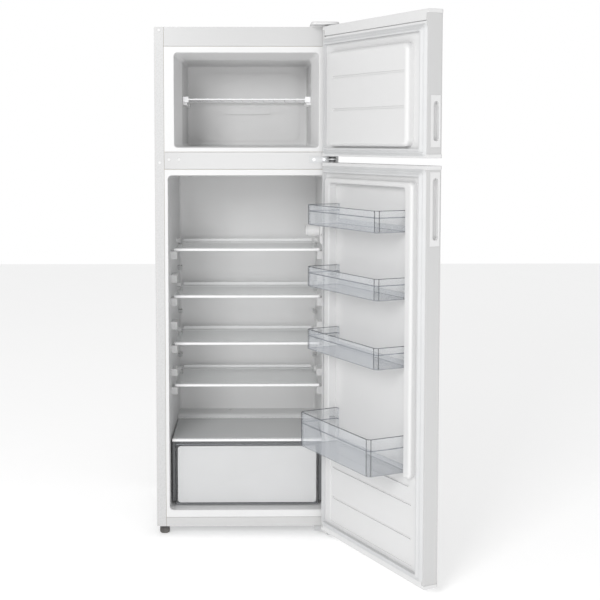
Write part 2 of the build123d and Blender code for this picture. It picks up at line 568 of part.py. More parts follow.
with BuildPart() as condenser:
    half = CONDENSER_WIDTH / 2
    bend = CONDENSER_PITCH / 2 - 1
    corners = []
    for run in range(CONDENSER_RUNS):
        z = CONDENSER_BOTTOM + run * CONDENSER_PITCH
        ends = [(half, CONDENSER_Y, z), (-half, CONDENSER_Y, z)]
        corners += ends if run % 2 == 0 else ends[::-1]
    add(tube(corners, bend, TUBE_RADIUS))
    # flat straps that tie the runs together, on spacers that stand off the back panel
    last = CONDENSER_BOTTOM + (CONDENSER_RUNS - 1) * CONDENSER_PITCH
    for x in (-half + 60, half - 60):
        block((x - 7, x + 7), (CONDENSER_Y - TUBE_RADIUS - 1, CONDENSER_Y), (CONDENSER_BOTTOM - 8, last + 8))
        for z in (CONDENSER_BOTTOM + CONDENSER_PITCH / 2, last - CONDENSER_PITCH / 2):
            block((x - 6, x + 6), (BODY_DEPTH + PAD_RISE, CONDENSER_Y), (z - 8, z + 8))
finish(condenser, "condenser")

PIPE_RADIUS = 3.0


def shell_back(x):
    """Depth at which a pipe meets the compressor's shell, x from the shell's middle."""
    return COMPRESSOR_Y + COMPRESSOR_RADIUS * (1 - (x / (COMPRESSOR_RADIUS + 16)) ** 2) ** 0.5 + 1.5


with BuildPart() as refrigerant_pipes:
    # discharge: compressor to the condenser's lower end
    out_x, out_z = 30, COMPRESSOR_PLATE_Z + 58
    add(tube([(MACHINE_X + out_x, shell_back(out_x), out_z), (MACHINE_X + out_x, CONDENSER_Y, out_z),
              (150, CONDENSER_Y, out_z), (150, CONDENSER_Y, CONDENSER_BOTTOM - 30),
              (half + 30, CONDENSER_Y, CONDENSER_BOTTOM - 30), (half + 30, CONDENSER_Y, CONDENSER_BOTTOM),
              (half + 0.5, CONDENSER_Y, CONDENSER_BOTTOM)], 12, PIPE_RADIUS))
    # suction: out of the back panel and down to the compressor
    back_x, back_y = -30, CONDENSER_Y - 6
    add(tube([(-190, BODY_DEPTH + 2.5, BACK_BOTTOM + 30), (-190, back_y, BACK_BOTTOM + 30),
              (-190, back_y, 120),
              (MACHINE_X + back_x, back_y, 120), (MACHINE_X + back_x, shell_back(back_x), 120)], 6,
              PIPE_RADIUS))
    # filter drier
    rod((-170, 452, 60), (-170, 452, 170), 9)
finish(refrigerant_pipes, "refrigerant_pipes")

# ---------------------------------------------------------------- hinges
ARM = 14.0                  # half width of a hinge arm
WASHER = 0.6
TOP_PLATE = (HEIGHT, HEIGHT + HINGE_PLATE)
with BuildPart() as top_hinge:
    block((HINGE_X - 60, HINGE_X + ARM), (2, 44), TOP_PLATE)
    block((HINGE_X - ARM, HINGE_X + ARM), (HINGE_Y - ARM, 4), TOP_PLATE)
    fillet(top_hinge.edges().filter_by(Axis.Z).group_by(Axis.Y)[0], radius=ARM - 2)
    rod((HINGE_X, HINGE_Y, HEIGHT + 1), (HINGE_X, HINGE_Y, FREEZER_DOOR[1] - PIN_REACH), PIN_RADIUS)
finish(top_hinge, "top_hinge")
TOP_SCREWS = [(HINGE_X - 46, 14), (HINGE_X - 46, 34), (HINGE_X, 32)]

with BuildPart() as top_hinge_cover:
    cover_x, cover_y = (HINGE_X - 64, HINGE_X + ARM + 4), (HINGE_Y - ARM - 4, 50)
    block(cover_x, cover_y, (HEIGHT, HEIGHT + 11))
    block(cover_x, (cover_y[0], -1), (HEIGHT, TOP_PLATE[1]), mode=Mode.SUBTRACT)
    fillet(top_hinge_cover.edges().filter_by(Axis.Z).group_by(Axis.Y)[0], radius=ARM)
    fillet(top_hinge_cover.edges().group_by(Axis.Z)[-1], radius=4)
    block((HINGE_X - 62, HINGE_X + ARM + 1), (1.5, 46), (HEIGHT, HEIGHT + 8), mode=Mode.SUBTRACT)
    block((HINGE_X - ARM - 1, HINGE_X + ARM + 1), (-1, 3), (HEIGHT, TOP_PLATE[1]), mode=Mode.SUBTRACT)
finish(top_hinge_cover, "top_hinge_cover")

SPLIT_MIDDLE = FRIDGE_DOOR[1] + DOOR_SPLIT / 2
with BuildPart() as middle_hinge:
    block((185, HINGE_X + ARM), (-2.5, 0), (SPLIT_MIDDLE - 11, SPLIT_MIDDLE + 8))
    block((HINGE_X - ARM, HINGE_X + ARM), (HINGE_Y - ARM, 0), (SPLIT_MIDDLE - 2, SPLIT_MIDDLE + 2))
    fillet(middle_hinge.edges().filter_by(Axis.Z).group_by(Axis.Y)[0], radius=ARM - 2)
    rod((HINGE_X, HINGE_Y, FRIDGE_DOOR[1] - PIN_REACH), (HINGE_X, HINGE_Y, FREEZER_DOOR[0] + PIN_REACH),
        PIN_RADIUS)
    # collars that the doors ride on
    rod((HINGE_X, HINGE_Y, FRIDGE_DOOR[1] + WASHER), (HINGE_X, HINGE_Y, FREEZER_DOOR[0] - WASHER),
        PIN_RADIUS + 4)
    with BuildSketch(upright(0)):
        with Locations(*RAIL_HOLES[2:]):
            Circle(2.6)
    extrude(amount=3, mode=Mode.SUBTRACT)
finish(middle_hinge, "middle_hinge")

LOW_ARM = (DOOR_GROUND - 9, DOOR_GROUND - 5)
LOW_PLATE = (GROUND - 4, GROUND)
with BuildPart() as bottom_hinge:
    block((HINGE_X - 50, HINGE_X + 16), (0, 70), LOW_PLATE)
    block((HINGE_X - 50, HINGE_X + ARM), (-3, 0), (LOW_ARM[0], LOW_PLATE[1]))
    block((HINGE_X - ARM, HINGE_X + ARM), (HINGE_Y - ARM, 0), LOW_ARM)
    fillet(bottom_hinge.edges().filter_by(Axis.Z).group_by(Axis.Y)[0], radius=ARM - 2)
    rod((HINGE_X, HINGE_Y, LOW_ARM[0]), (HINGE_X, HINGE_Y, DOOR_GROUND + PIN_REACH), PIN_RADIUS)
    rod((HINGE_X, HINGE_Y, LOW_ARM[1]), (HINGE_X, HINGE_Y, DOOR_GROUND - WASHER), PIN_RADIUS + 4)
    foot_x = SIDE - FOOT_IN
    rod((foot_x, FOOT_BACK, LOW_PLATE[0]), (foot_x, FOOT_BACK, LOW_PLATE[1]), FOOT_STUD + 1,
        mode=Mode.SUBTRACT)
finish(bottom_hinge, "bottom_hinge")
LOW_SCREWS = [(HINGE_X - 36, 18), (HINGE_X - 36, 56), (HINGE_X, 58)]


def screw(x, y, z, outward):
    """Pan head screw with its head's seat at the given point."""
    axis = Vector(*outward)
    seat = Vector(x, y, z)
    rod(tuple(seat), tuple(seat + axis * 2.2), 4.5)


with BuildPart() as hinge_screws:
    for x, y in TOP_SCREWS:
        screw(x, y, TOP_PLATE[1], (0, 0, 1))
    for x, z in RAIL_HOLES[2:]:
        screw(x, -2.5, z, (0, -1, 0))
        rod((x, -2.5, z), (x, PANEL, z), 2.5)
    for x, y in LOW_SCREWS:
        screw(x, y, LOW_PLATE[0], (0, 0, -1))
finish(hinge_screws, "hinge_screws")


# ---------------------------------------------------------------- doors
def gasket_span(door, below, above):
    """Lowest and highest z of a gasket, from the strips of door left bare."""
    return door[0] + below, door[1] - above


FREEZER_SEAL = gasket_span(FREEZER_DOOR, GASKET_IN, 36.0)
FRIDGE_SEAL = gasket_span(FRIDGE_DOOR, 16.0, 9.0)


def skin(name, door, grip):
    """Wrapped outer sheet of a door, open at both ends, with a window for the grip."""
    low, high = door[0] + CAP, door[1] - CAP
    with BuildPart() as wrap:
        block((-SIDE, SIDE), (DOOR_FRONT, DOOR_BACK), (low, high))
        fillet(wrap.edges().filter_by(Axis.Z).group_by(Axis.Y)[0], radius=DOOR_CORNER)
        with BuildSketch(Plane.XY.offset(low)):
            with Locations((0, (DOOR_FRONT + DOOR_BACK) / 2)):
                RectangleRounded(WIDTH - 2 * SHEET, DOOR_THICK - 2 * SHEET, DOOR_CORNER - SHEET)
        extrude(amount=high - low, mode=Mode.SUBTRACT)
        block((-SIDE + 9, SIDE - 9), (DOOR_BACK - 6, DOOR_BACK), (low, high), mode=Mode.SUBTRACT)
        block((-SIDE, -SIDE + 6), GRIP_Y, grip, mode=Mode.SUBTRACT)
    finish(wrap, name, SWUNG)


def end_cap(outer, step):
    """One end cap, from its outer face inwards, with the socket of a hinge pin."""
    inner = outer + step * CAP
    with BuildPart() as cap:
        block((-SIDE - CAP_LIP, SIDE + CAP_LIP), (DOOR_FRONT - CAP_LIP, DOOR_BACK), (outer, inner))
        fillet(cap.edges().filter_by(Axis.Z).group_by(Axis.Y)[0], radius=DOOR_CORNER + CAP_LIP)
        fillet(cap.faces().filter_by(Plane.XY).sort_by(Axis.Z)[0 if step > 0 else -1].edges(), radius=1.5)
        block((-SIDE + GRIP_DEPTH + 6, SIDE - 10), (DOOR_FRONT + SHEET, DOOR_BACK),
              (inner, inner + step * CAP_PLUG))
        block((-SIDE + 10, 0), (LINER_BACK, DOOR_BACK), (inner, inner + step * CAP_PLUG))
        rod((HINGE_X, HINGE_Y, outer), (HINGE_X, HINGE_Y, outer + step * (PIN_REACH + 2)),
            PIN_RADIUS + PIN_CLEARANCE, mode=Mode.SUBTRACT)
    return cap.part


def end_caps(name, door):
    """Lower and upper end caps of a door."""
    with BuildPart() as caps:
        add(end_cap(door[0], 1))
        add(end_cap(door[1], -1))
    finish(caps, name, SWUNG)


def gasket(name, seal):
    """Magnetic gasket: a ring with a broad foot, its outer flank leaning inwards."""
    foot = SIDE - GASKET_IN
    with BuildPart() as ring:
        with BuildSketch(upright(DOOR_BACK)):
            front_sketch((-foot, foot), seal, 14)
        with BuildSketch(upright(-GASKET_GAP)):
            tip = GASKET_SLOPE
            front_sketch((-foot + tip, foot - tip), (seal[0] + tip, seal[1] - tip), 6)
        loft()
        hole = foot - GASKET_WIDTH
        with BuildSketch(upright(DOOR_BACK)):
            front_sketch((-hole, hole), (seal[0] + GASKET_WIDTH, seal[1] - GASKET_WIDTH), 4)
        extrude(amount=-DOOR_GAP, mode=Mode.SUBTRACT)
    finish(ring, name, SWUNG)


def grip(name, span):
    """Grip insert in the door's free edge, with a long finger slot."""
    y = (GRIP_Y[0] + 0.2, GRIP_Y[1] - 0.2)
    middle = (span[0] + span[1]) / 2
    length = span[1] - span[0]
    with BuildPart() as insert:
        block((-SIDE - 0.4, -SIDE + GRIP_DEPTH + 4), y, (span[0] + 0.2, span[1] - 0.2))
        with BuildSketch(Plane.YZ.offset(-SIDE - 0.4)):
            with Locations(((y[0] + y[1]) / 2 - 3, middle)):
                SlotOverall(length - 2 * GRIP_MARGIN, GRIP_SLOT, rotation=90)
        extrude(amount=GRIP_DEPTH, mode=Mode.SUBTRACT)
        fillet(insert.edges().group_by(Axis.X)[0].filter_by(
            lambda edge: span[0] + 5 < edge.center().Z < span[1] - 5
            and y[0] + 3 < edge.center().Y < y[1] - 3), radius=1.5)
    finish(insert, name, SWUNG)


def door_foam(name, door, pockets, span):
    """Foam between skin and liner, filling the liner's hollow ridges."""
    low, high = door[0] + CAP + CAP_PLUG, door[1] - CAP - CAP_PLUG
    with BuildPart() as fill:
        block((-SIDE + 10, SIDE - 10), (DOOR_FRONT + SHEET, LINER_BACK), (low, high))
        for x, y, z in pockets:
            block(x, y, z)
        block((-SIDE, -SIDE + GRIP_DEPTH + 4), (DOOR_FRONT, GRIP_Y[1]), span, mode=Mode.SUBTRACT)
    finish(fill, name, SWUNG)


PLUG_SIDE = SIDE - 9 - SEAM / 2
freezer_grip = (FREEZER_DOOR[0] + FREEZER_GRIP[0], FREEZER_DOOR[0] + FREEZER_GRIP[1])
fridge_grip = (FRIDGE_DOOR[1] - FRIDGE_GRIP[1], FRIDGE_DOOR[1] - FRIDGE_GRIP[0])

skin("freezer_door_skin", FREEZER_DOOR, freezer_grip)
skin("fridge_door_skin", FRIDGE_DOOR, fridge_grip)
end_caps("freezer_door_end_caps", FREEZER_DOOR)
end_caps("fridge_door_end_caps", FRIDGE_DOOR)
gasket("freezer_door_gasket", FREEZER_SEAL)
gasket("fridge_door_gasket", FRIDGE_SEAL)
grip("freezer_door_grip", freezer_grip)
grip("fridge_door_grip", fridge_grip)

# Freezer door's liner: a soft edged block with two grooves
BLOCK_X = FREEZER_MOUTH / 2 - BLOCK_CLEAR
BLOCK_Z = (FREEZER_BOTTOM + BLOCK_CLEAR, FREEZER_TOP - BLOCK_CLEAR)
BLOCK_FACE = DOOR_BACK + BLOCK_PROUD
GROOVES = (BLOCK_Z[0] + 103.0, BLOCK_Z[0] + 195.0)
LINER_Z = (FREEZER_DOOR[0] + CAP + CAP_PLUG, FREEZER_DOOR[1] - CAP - CAP_PLUG)
block_pocket = ((-BLOCK_X + PANEL + 8, BLOCK_X - PANEL - 8), (LINER_BACK, BLOCK_FACE - PANEL - 3),
                (max(BLOCK_Z[0], LINER_Z[0]) + PANEL + 8, BLOCK_Z[1] - PANEL - 8))
with BuildPart() as freezer_door_liner:
    block((-PLUG_SIDE, PLUG_SIDE), (LINER_BACK, DOOR_BACK), LINER_Z)
    with BuildSketch(upright(DOOR_BACK)):
        front_sketch((-BLOCK_X, BLOCK_X), BLOCK_Z, 22)
    extrude(amount=-BLOCK_PROUD)
    fillet(freezer_door_liner.faces().sort_by(Axis.Y)[-1].edges(), radius=11)
    for z in GROOVES:
        with BuildSketch(upright(BLOCK_FACE)):
            with Locations((-GROOVE_SHIFT, z)):
                SlotOverall(2 * (BLOCK_X - GROOVE_SHIFT) - 24, GROOVE)
        extrude(amount=GROOVE_DEPTH, mode=Mode.SUBTRACT)
    block(*block_pocket, mode=Mode.SUBTRACT)
    block((-SIDE, SIDE), (DOOR_BACK - CAP_SEAM[1], DOOR_BACK), (LINER_Z[1] - CAP_SEAM[0], LINER_Z[1]),
          mode=Mode.SUBTRACT)
finish(freezer_door_liner, "freezer_door_liner", SWUNG)
door_foam("freezer_door_foam", FREEZER_DOOR, [block_pocket], freezer_grip)

# Fridge door's liner: two ridges and a top bar round a recess, and a plain lower panel
LINER_Z = (FRIDGE_DOOR[0] + CAP + CAP_PLUG, FRIDGE_DOOR[1] - CAP - CAP_PLUG)
RIDGE_FACE = DOOR_BACK + RIDGE_PROUD
LOWER_PANEL = (LINER_Z[0] + 18.0, RIDGE_END - 8)
LOWER_GROOVES = (LINER_Z[0] + 91.0, LINER_Z[0] + 182.0)
ridge_pockets = []
for side in (-1, 1):
    ridge_pockets.append(((side * (RIDGE_IN + PANEL), side * (RIDGE_OUT - PANEL - 4)),
                          (LINER_BACK, RIDGE_FACE - PANEL - 2),
                          (RIDGE_END + PANEL + 6, RIDGE_TOP - BAR_WIDTH)))
PEG_HEIGHTS = [(FRIDGE_BOTTOM + rise, BIN_HEIGHT) for rise in BIN_RISES]
PEG_HEIGHTS.append((FRIDGE_BOTTOM + BOTTLE_RISE, BOTTLE_HEIGHT))
PEG_DROP = 30.0             # bin's rim to its pegs' tops
PEG_OUT = 6.5               # how far a peg stands out of the ridge's side
with BuildPart() as fridge_door_liner:
    block((-PLUG_SIDE, PLUG_SIDE), (LINER_BACK, DOOR_BACK), LINER_Z)
    with BuildSketch(upright(DOOR_BACK)):
        front_sketch((-RIDGE_OUT, RIDGE_OUT), (RIDGE_END, RIDGE_TOP), 14)
    extrude(amount=-RIDGE_PROUD)
    fillet(fridge_door_liner.faces().sort_by(Axis.Y)[-1].edges(), radius=8)
    with BuildSketch(upright(DOOR_BACK - RECESS)):
        front_sketch((-RIDGE_IN, RIDGE_IN), (RIDGE_END - 30, RIDGE_TOP - BAR_WIDTH), 12)
    extrude(amount=-RIDGE_PROUD - RECESS, mode=Mode.SUBTRACT)
    fillet(fridge_door_liner.faces().sort_by(Axis.Y)[-1].edges().filter_by(
        lambda edge: abs(edge.center().X) < RIDGE_IN + 1 and edge.center().Z < RIDGE_TOP - BAR_WIDTH + 1
        and edge.center().Z > RIDGE_END + 12), radius=3)
    # lower panel, sunk a little, with two grooves
    with BuildSketch(upright(DOOR_BACK - 2.0)):
        front_sketch((-SIDE + 52, SIDE - 52), LOWER_PANEL, 10)
    extrude(amount=-10, taper=-20, mode=Mode.SUBTRACT)
    for z in LOWER_GROOVES:
        with BuildSketch(upright(DOOR_BACK - 2.0)):
            with Locations((0, z)):
                SlotOverall(2 * (SIDE - 52) - 24, GROOVE)
        extrude(amount=GROOVE_DEPTH, mode=Mode.SUBTRACT)
    for pocket in ridge_pockets:
        block(*pocket, mode=Mode.SUBTRACT)
    for floor, height in PEG_HEIGHTS:
        top = floor + height - PEG_DROP
        for side in (-1, 1):
            block((side * (RIDGE_IN - PEG_OUT), side * (RIDGE_IN + 1)), (DOOR_BACK + 4, DOOR_BACK + 14),
                  (top - PEG, top))
finish(fridge_door_liner, "fridge_door_liner", SWUNG)
door_foam("fridge_door_foam", FRIDGE_DOOR, ridge_pockets, fridge_grip)


def bin_box(name, floor, height, reach):
    """Clear door bin: deep in front of the ridges, with ribs that hook over the pegs."""
    back = DOOR_BACK - RECESS + 2.0
    front = DOOR_BACK + reach
    half = BIN_WIDTH / 2
    with BuildPart() as tray:
        with BuildSketch(Plane.XY.offset(floor)):
            with Locations((0, (back + front) / 2)):
                Rectangle(BIN_WIDTH, front - back)
        extrude(amount=height)
        chamfer(tray.edges().filter_by(Axis.Z).group_by(Axis.Y)[-1], length=9)
        fillet(tray.faces().sort_by(Axis.Z)[0].edges(), radius=1.8)
        offset(amount=-BIN_WALL, openings=tray.faces().sort_by(Axis.Z)[-1])
        # low rear wall, so that bottles stand against the door
        block((-half + 12, half - 12), (back - 1, back + BIN_WALL + 1), (floor + 16, floor + height + 1),
              mode=Mode.SUBTRACT)
        # band along the front wall
        block((-half + 9, half - 9), (front - 0.2, front + 1.2),
              (floor + height * 0.68, floor + height * 0.68 + 1.6))
        # ribs that hook over the pegs of the door liner
        rib = floor + height - PEG_DROP + RUNNER_GAP
        for side in (-1, 1):
            block((side * (half - 1), side * (RIDGE_IN - 2)), (DOOR_BACK + 2, DOOR_BACK + 16), (rib, rib + 3))
    finish(tray, name, SWUNG)


for number, rise in enumerate(BIN_RISES, start=1):
    bin_box(f"door_bin_{number}", FRIDGE_BOTTOM + rise, BIN_HEIGHT, BIN_REACH)
bin_box("bottle_bin", FRIDGE_BOTTOM + BOTTLE_RISE, BOTTLE_HEIGHT, BOTTLE_REACH)

# ---------------------------------------------------------------- inside the compartments
WIRE = 2.5
CROSS_WIRE = 1.5
CROSS_PITCH = 34.0
with BuildPart() as freezer_shelf:
    half = FREEZER_BOX / 2 - 9
    front, back = FREEZER_SHELF_FRONT, FREEZER_SHELF_FRONT + FREEZER_SHELF_DEPTH
    for y in (front, back):
        rod((-half, y, SHELF_Z), (half, y, SHELF_Z), WIRE)
    for side in (-1, 1):
        rod((side * half, front, SHELF_Z), (side * half, back, SHELF_Z), WIRE)
        # moulded end at each front corner
        block((side * (half - 9), side * (FREEZER_BOX / 2 - 1)), (front - 5, front + 12),
              (SHELF_Z - LEDGE_DROP + RUNNER_GAP, SHELF_Z + 8))
    for number in range(10):
        x = (number - 4.5) * CROSS_PITCH
        rod((x, front - 1, SHELF_Z + WIRE), (x, back + 1, SHELF_Z + WIRE), CROSS_WIRE)
finish(freezer_shelf, "freezer_shelf")


def glass_shelf(name, top, width, front, depth, trim_height):
    """Sheet of glass held between a front and a rear trim."""
    half = width / 2
    glass_z = (top - 1 - GLASS, top - 1)
    glass_y = (front + 6, front + depth - 6)
    low = top - SHELF_THICK
    rear = (front + depth - 12, front + depth)
    inset = LUG_REACH + UPSTAND_GAP
    with BuildPart() as pane:
        block((-half + 1, half - 1), glass_y, glass_z)
    with BuildPart() as trims:
        block((-half, half), (front, front + 12), (low, top))
        fillet(trims.edges().filter_by(Axis.X).group_by(Axis.Y)[0], radius=2)
        block((-half, half), rear, (low, top))
        if trim_height > 0:
            block((inset - half, half - inset), rear, (top, top + trim_height))
        add(pane.part, mode=Mode.SUBTRACT)
    finish(pane, f"{name}_glass")
    finish(trims, f"{name}_trim")


for number, top in enumerate(SHELF_TOPS, start=1):
    glass_shelf(f"shelf_{number}", top, SHELF_WIDTH, SHELF_FRONT, SHELF_DEPTH, 7)
COVER_WIDTH = 2 * wall_x(STEP_FRONT) - 2
glass_shelf("crisper_cover", COVER_TOP, COVER_WIDTH, COVER_FRONT, STEP_FRONT - COVER_FRONT - 4, 0)

CRISPER_Z = (FRIDGE_BOTTOM + CRISPER_LIFT, FRIDGE_BOTTOM + CRISPER_LIFT + CRISPER_HEIGHT)
CRISPER_BACK = STEP_FRONT - CRISPER_BACK_GAP
with BuildPart() as crisper_guides:
    for side in (-1, 1):
        block((side * (CRISPER_WIDTH / 2 + 1), side * (wall_x(CRISPER_BACK) - 0.5)),
              (CRISPER_FRONT + 4, CRISPER_BACK), (CRISPER_Z[0] + MOUTH_CORNER, COVER_TOP - SHELF_THICK))
    fillet(crisper_guides.edges().filter_by(Axis.X).group_by(Axis.Z)[-1], radius=8)
finish(crisper_guides, "crisper_guides")

with BuildPart() as crisper_drawer:
    half = CRISPER_WIDTH / 2
    block((-half, half), (CRISPER_FRONT, CRISPER_BACK), CRISPER_Z)
    fillet(crisper_drawer.edges().filter_by(Axis.Z).group_by(Axis.Y)[-1], radius=20)
    fillet(crisper_drawer.edges().group_by(Axis.Z)[0], radius=3)
    offset(amount=-CRISPER_WALL, openings=crisper_drawer.faces().sort_by(Axis.Z)[-1])
    # cut-out along the top of the rear wall
    with BuildSketch(upright(CRISPER_BACK + 1)):
        with BuildLine():
            Polyline((-150, CRISPER_Z[1] + 1), (-150, CRISPER_Z[1] - 16), (-131, CRISPER_Z[1] - 37),
                     (131, CRISPER_Z[1] - 37), (150, CRISPER_Z[1] - 16), (150, CRISPER_Z[1] + 1), close=True)
        make_face()
    extrude(amount=8, mode=Mode.SUBTRACT)
    # raised rim across the top of the front
    block((-half, half), (CRISPER_FRONT - 3, CRISPER_FRONT + 1), (CRISPER_Z[1] - 9, CRISPER_Z[1]))
finish(crisper_drawer, "crisper_drawer")

# ---------------------------------------------------------------- thermostat, lamp and switch
KNOB_RADIUS = 19.0
KNOB_LENGTH = 41.0
HOUSING_Y = (45.0, 205.0)
HOUSING_THICK = 9.0
KNOB_Y = 122.0
HOUSING_FACE = wall_x(HOUSING_Y[1]) - HOUSING_THICK
HOUSING_SPAN = (HOUSING_Z - 38, HOUSING_Z + 22)
LAMP_Y = (155.0, 195.0)
SWITCH_RADIUS = 4.0
SWITCH_Z = HOUSING_Z - 8
SWITCH_X = HOUSING_FACE + 5.5
SWITCH_TRAVEL = 6.0
with BuildPart() as lamp_housing:
    block((HOUSING_FACE, SIDE), HOUSING_Y, HOUSING_SPAN)
    chamfer(lamp_housing.edges().filter_by(Axis.Y).group_by(Axis.X)[0], length=6)
    chamfer(lamp_housing.edges().filter_by(Axis.Z).group_by(Axis.X)[0], length=3)
    add(FRIDGE_INSIDE, mode=Mode.INTERSECT)
    rod((HOUSING_FACE - 1, KNOB_Y, HOUSING_Z), (HOUSING_FACE + 6, KNOB_Y, HOUSING_Z), 3.0 + PIN_CLEARANCE,
        mode=Mode.SUBTRACT)
    block((HOUSING_FACE - 1, HOUSING_FACE + 5), LAMP_Y, (HOUSING_Z - 20, HOUSING_Z + 8), mode=Mode.SUBTRACT)
    rod((SWITCH_X, HOUSING_Y[0], SWITCH_Z), (SWITCH_X, HOUSING_Y[0] + 20, SWITCH_Z),
        SWITCH_RADIUS - 1 + PIN_CLEARANCE,
        mode=Mode.SUBTRACT)
finish(lamp_housing, "lamp_housing")

with BuildPart() as lamp_lens:
    block((HOUSING_FACE - 1.5, HOUSING_FACE + 5), (LAMP_Y[0] + 0.2, LAMP_Y[1] - 0.2),
          (HOUSING_Z - 19.8, HOUSING_Z + 7.8))
    fillet(lamp_lens.edges().group_by(Axis.X)[0], radius=1.2)
finish(lamp_lens, "lamp_lens")

with BuildPart() as thermostat_knob:
    face = HOUSING_FACE - RUNNER_GAP
    rod((face, KNOB_Y, HOUSING_Z), (face - KNOB_LENGTH, KNOB_Y, HOUSING_Z), KNOB_RADIUS - 2)
    rod((face - KNOB_LENGTH + 5, KNOB_Y, HOUSING_Z), (face - KNOB_LENGTH, KNOB_Y, HOUSING_Z), KNOB_RADIUS)
    fillet(thermostat_knob.edges().filter_by(GeomType.CIRCLE).group_by(Axis.X)[0], radius=2)
    rod((face - 1, KNOB_Y, HOUSING_Z), (face + 5, KNOB_Y, HOUSING_Z), 3.0)
finish(thermostat_knob, "thermostat_knob")

with BuildPart() as light_switch:
    tip = RIDGE_FACE + 2.0
    rod((SWITCH_X, tip, SWITCH_Z), (SWITCH_X, HOUSING_Y[0] - SWITCH_TRAVEL - 0.5, SWITCH_Z), SWITCH_RADIUS)
    rod((SWITCH_X, tip + 1, SWITCH_Z), (SWITCH_X, HOUSING_Y[0] + 10, SWITCH_Z), SWITCH_RADIUS - 1)
    fillet(light_switch.edges().filter_by(GeomType.CIRCLE).group_by(Axis.Y)[0], radius=1.5)
finish(light_switch, "light_switch")
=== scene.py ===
"""Looks of a free-standing top freezer refrigerator with both doors open.

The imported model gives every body, size and place. This script adds the studio, the finishes
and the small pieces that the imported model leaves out, and each piece rides on its body.
"""

import logging
import math
from dataclasses import dataclass, field
from enum import Enum
from typing import Callable, Iterable, Optional

import bmesh
import bpy
from mathutils import Matrix, Vector

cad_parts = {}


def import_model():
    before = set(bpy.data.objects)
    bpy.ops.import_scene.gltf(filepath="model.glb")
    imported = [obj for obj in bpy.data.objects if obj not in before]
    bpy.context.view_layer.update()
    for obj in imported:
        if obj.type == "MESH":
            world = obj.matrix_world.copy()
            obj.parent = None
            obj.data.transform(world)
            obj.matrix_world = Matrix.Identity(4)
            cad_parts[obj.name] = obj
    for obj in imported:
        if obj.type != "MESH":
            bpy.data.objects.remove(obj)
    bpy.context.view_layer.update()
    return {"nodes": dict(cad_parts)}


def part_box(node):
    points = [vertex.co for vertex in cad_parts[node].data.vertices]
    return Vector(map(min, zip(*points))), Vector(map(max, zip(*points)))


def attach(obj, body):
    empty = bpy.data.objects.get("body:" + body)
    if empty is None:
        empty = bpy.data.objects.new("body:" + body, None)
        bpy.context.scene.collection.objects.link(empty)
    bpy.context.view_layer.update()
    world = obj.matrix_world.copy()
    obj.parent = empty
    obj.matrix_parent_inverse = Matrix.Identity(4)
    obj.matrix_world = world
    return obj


log = logging.getLogger("refrigerator")

Colour = tuple[float, float, float]
MM = 0.001
DOOR_SWING = math.radians(116.0)


class Body(Enum):
    """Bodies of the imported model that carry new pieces."""

    CABINET = "cabinet"
    FREEZER_DOOR = "freezer_door"
    FRIDGE_DOOR = "fridge_door"
    CRISPER = "crisper"
    KNOB = "knob"
    LEFT_FOOT = "left_foot"
    RIGHT_FOOT = "right_foot"
    LEFT_ROLLER = "left_roller"
    RIGHT_ROLLER = "right_roller"


class Axis(Enum):
    """Directions of the shared frame."""

    X = (1.0, 0.0, 0.0)
    Y = (0.0, 1.0, 0.0)
    Z = (0.0, 0.0, 1.0)

    @property
    def vector(self) -> Vector:
        """The direction as a vector."""
        return Vector(self.value)


# ------------------------------------------------------------------ node sheets
class Sheet:
    """A node tree that is filled one node at a time."""

    def __init__(self, tree: bpy.types.NodeTree) -> None:
        """Keeps the tree.

        Args:
            tree: The tree of a material or of a node group.
        """
        self.tree = tree
        self.count = 0

    def add(self, kind: str, values: Optional[dict] = None, **settings: object) -> bpy.types.Node:
        """Adds a node.

        Args:
            kind: The node's type name.
            values: Input name or number to its plain value.
            **settings: Properties of the node itself.

        Returns:
            The new node.
        """
        node = self.tree.nodes.new(kind)
        node.location = (200.0 * self.count, -120.0 * (self.count % 3))
        self.count += 1
        for key, value in settings.items():
            setattr(node, key, value)
        for key, value in (values or {}).items():
            node.inputs[key].default_value = value
        return node

    def link(self, source: bpy.types.NodeSocket, target: bpy.types.NodeSocket) -> None:
        """Joins an output to an input."""
        self.tree.links.new(source, target)


def start_group(name: str, inputs: Iterable[tuple], outputs: Iterable[tuple]) -> tuple:
    """Starts a shader node group.

    Args:
        name: The group's name.
        inputs: Name, socket type and default of each input.
        outputs: Name and socket type of each output.

    Returns:
        The sheet, its group input node and its group output node.
    """
    tree = bpy.data.node_groups.new(name, "ShaderNodeTree")
    for label, kind, value in inputs:
        socket = tree.interface.new_socket(name=label, in_out="INPUT", socket_type=kind)
        socket.default_value = value
    for label, kind in outputs:
        tree.interface.new_socket(name=label, in_out="OUTPUT", socket_type=kind)
    sheet = Sheet(tree)
    return sheet, sheet.add("NodeGroupInput"), sheet.add("NodeGroupOutput")


def shared_group(name: str, build: Callable[[], bpy.types.NodeTree]) -> bpy.types.NodeTree:
    """Returns a node group, and builds it the first time it is asked for."""
    return bpy.data.node_groups.get(name) or build()


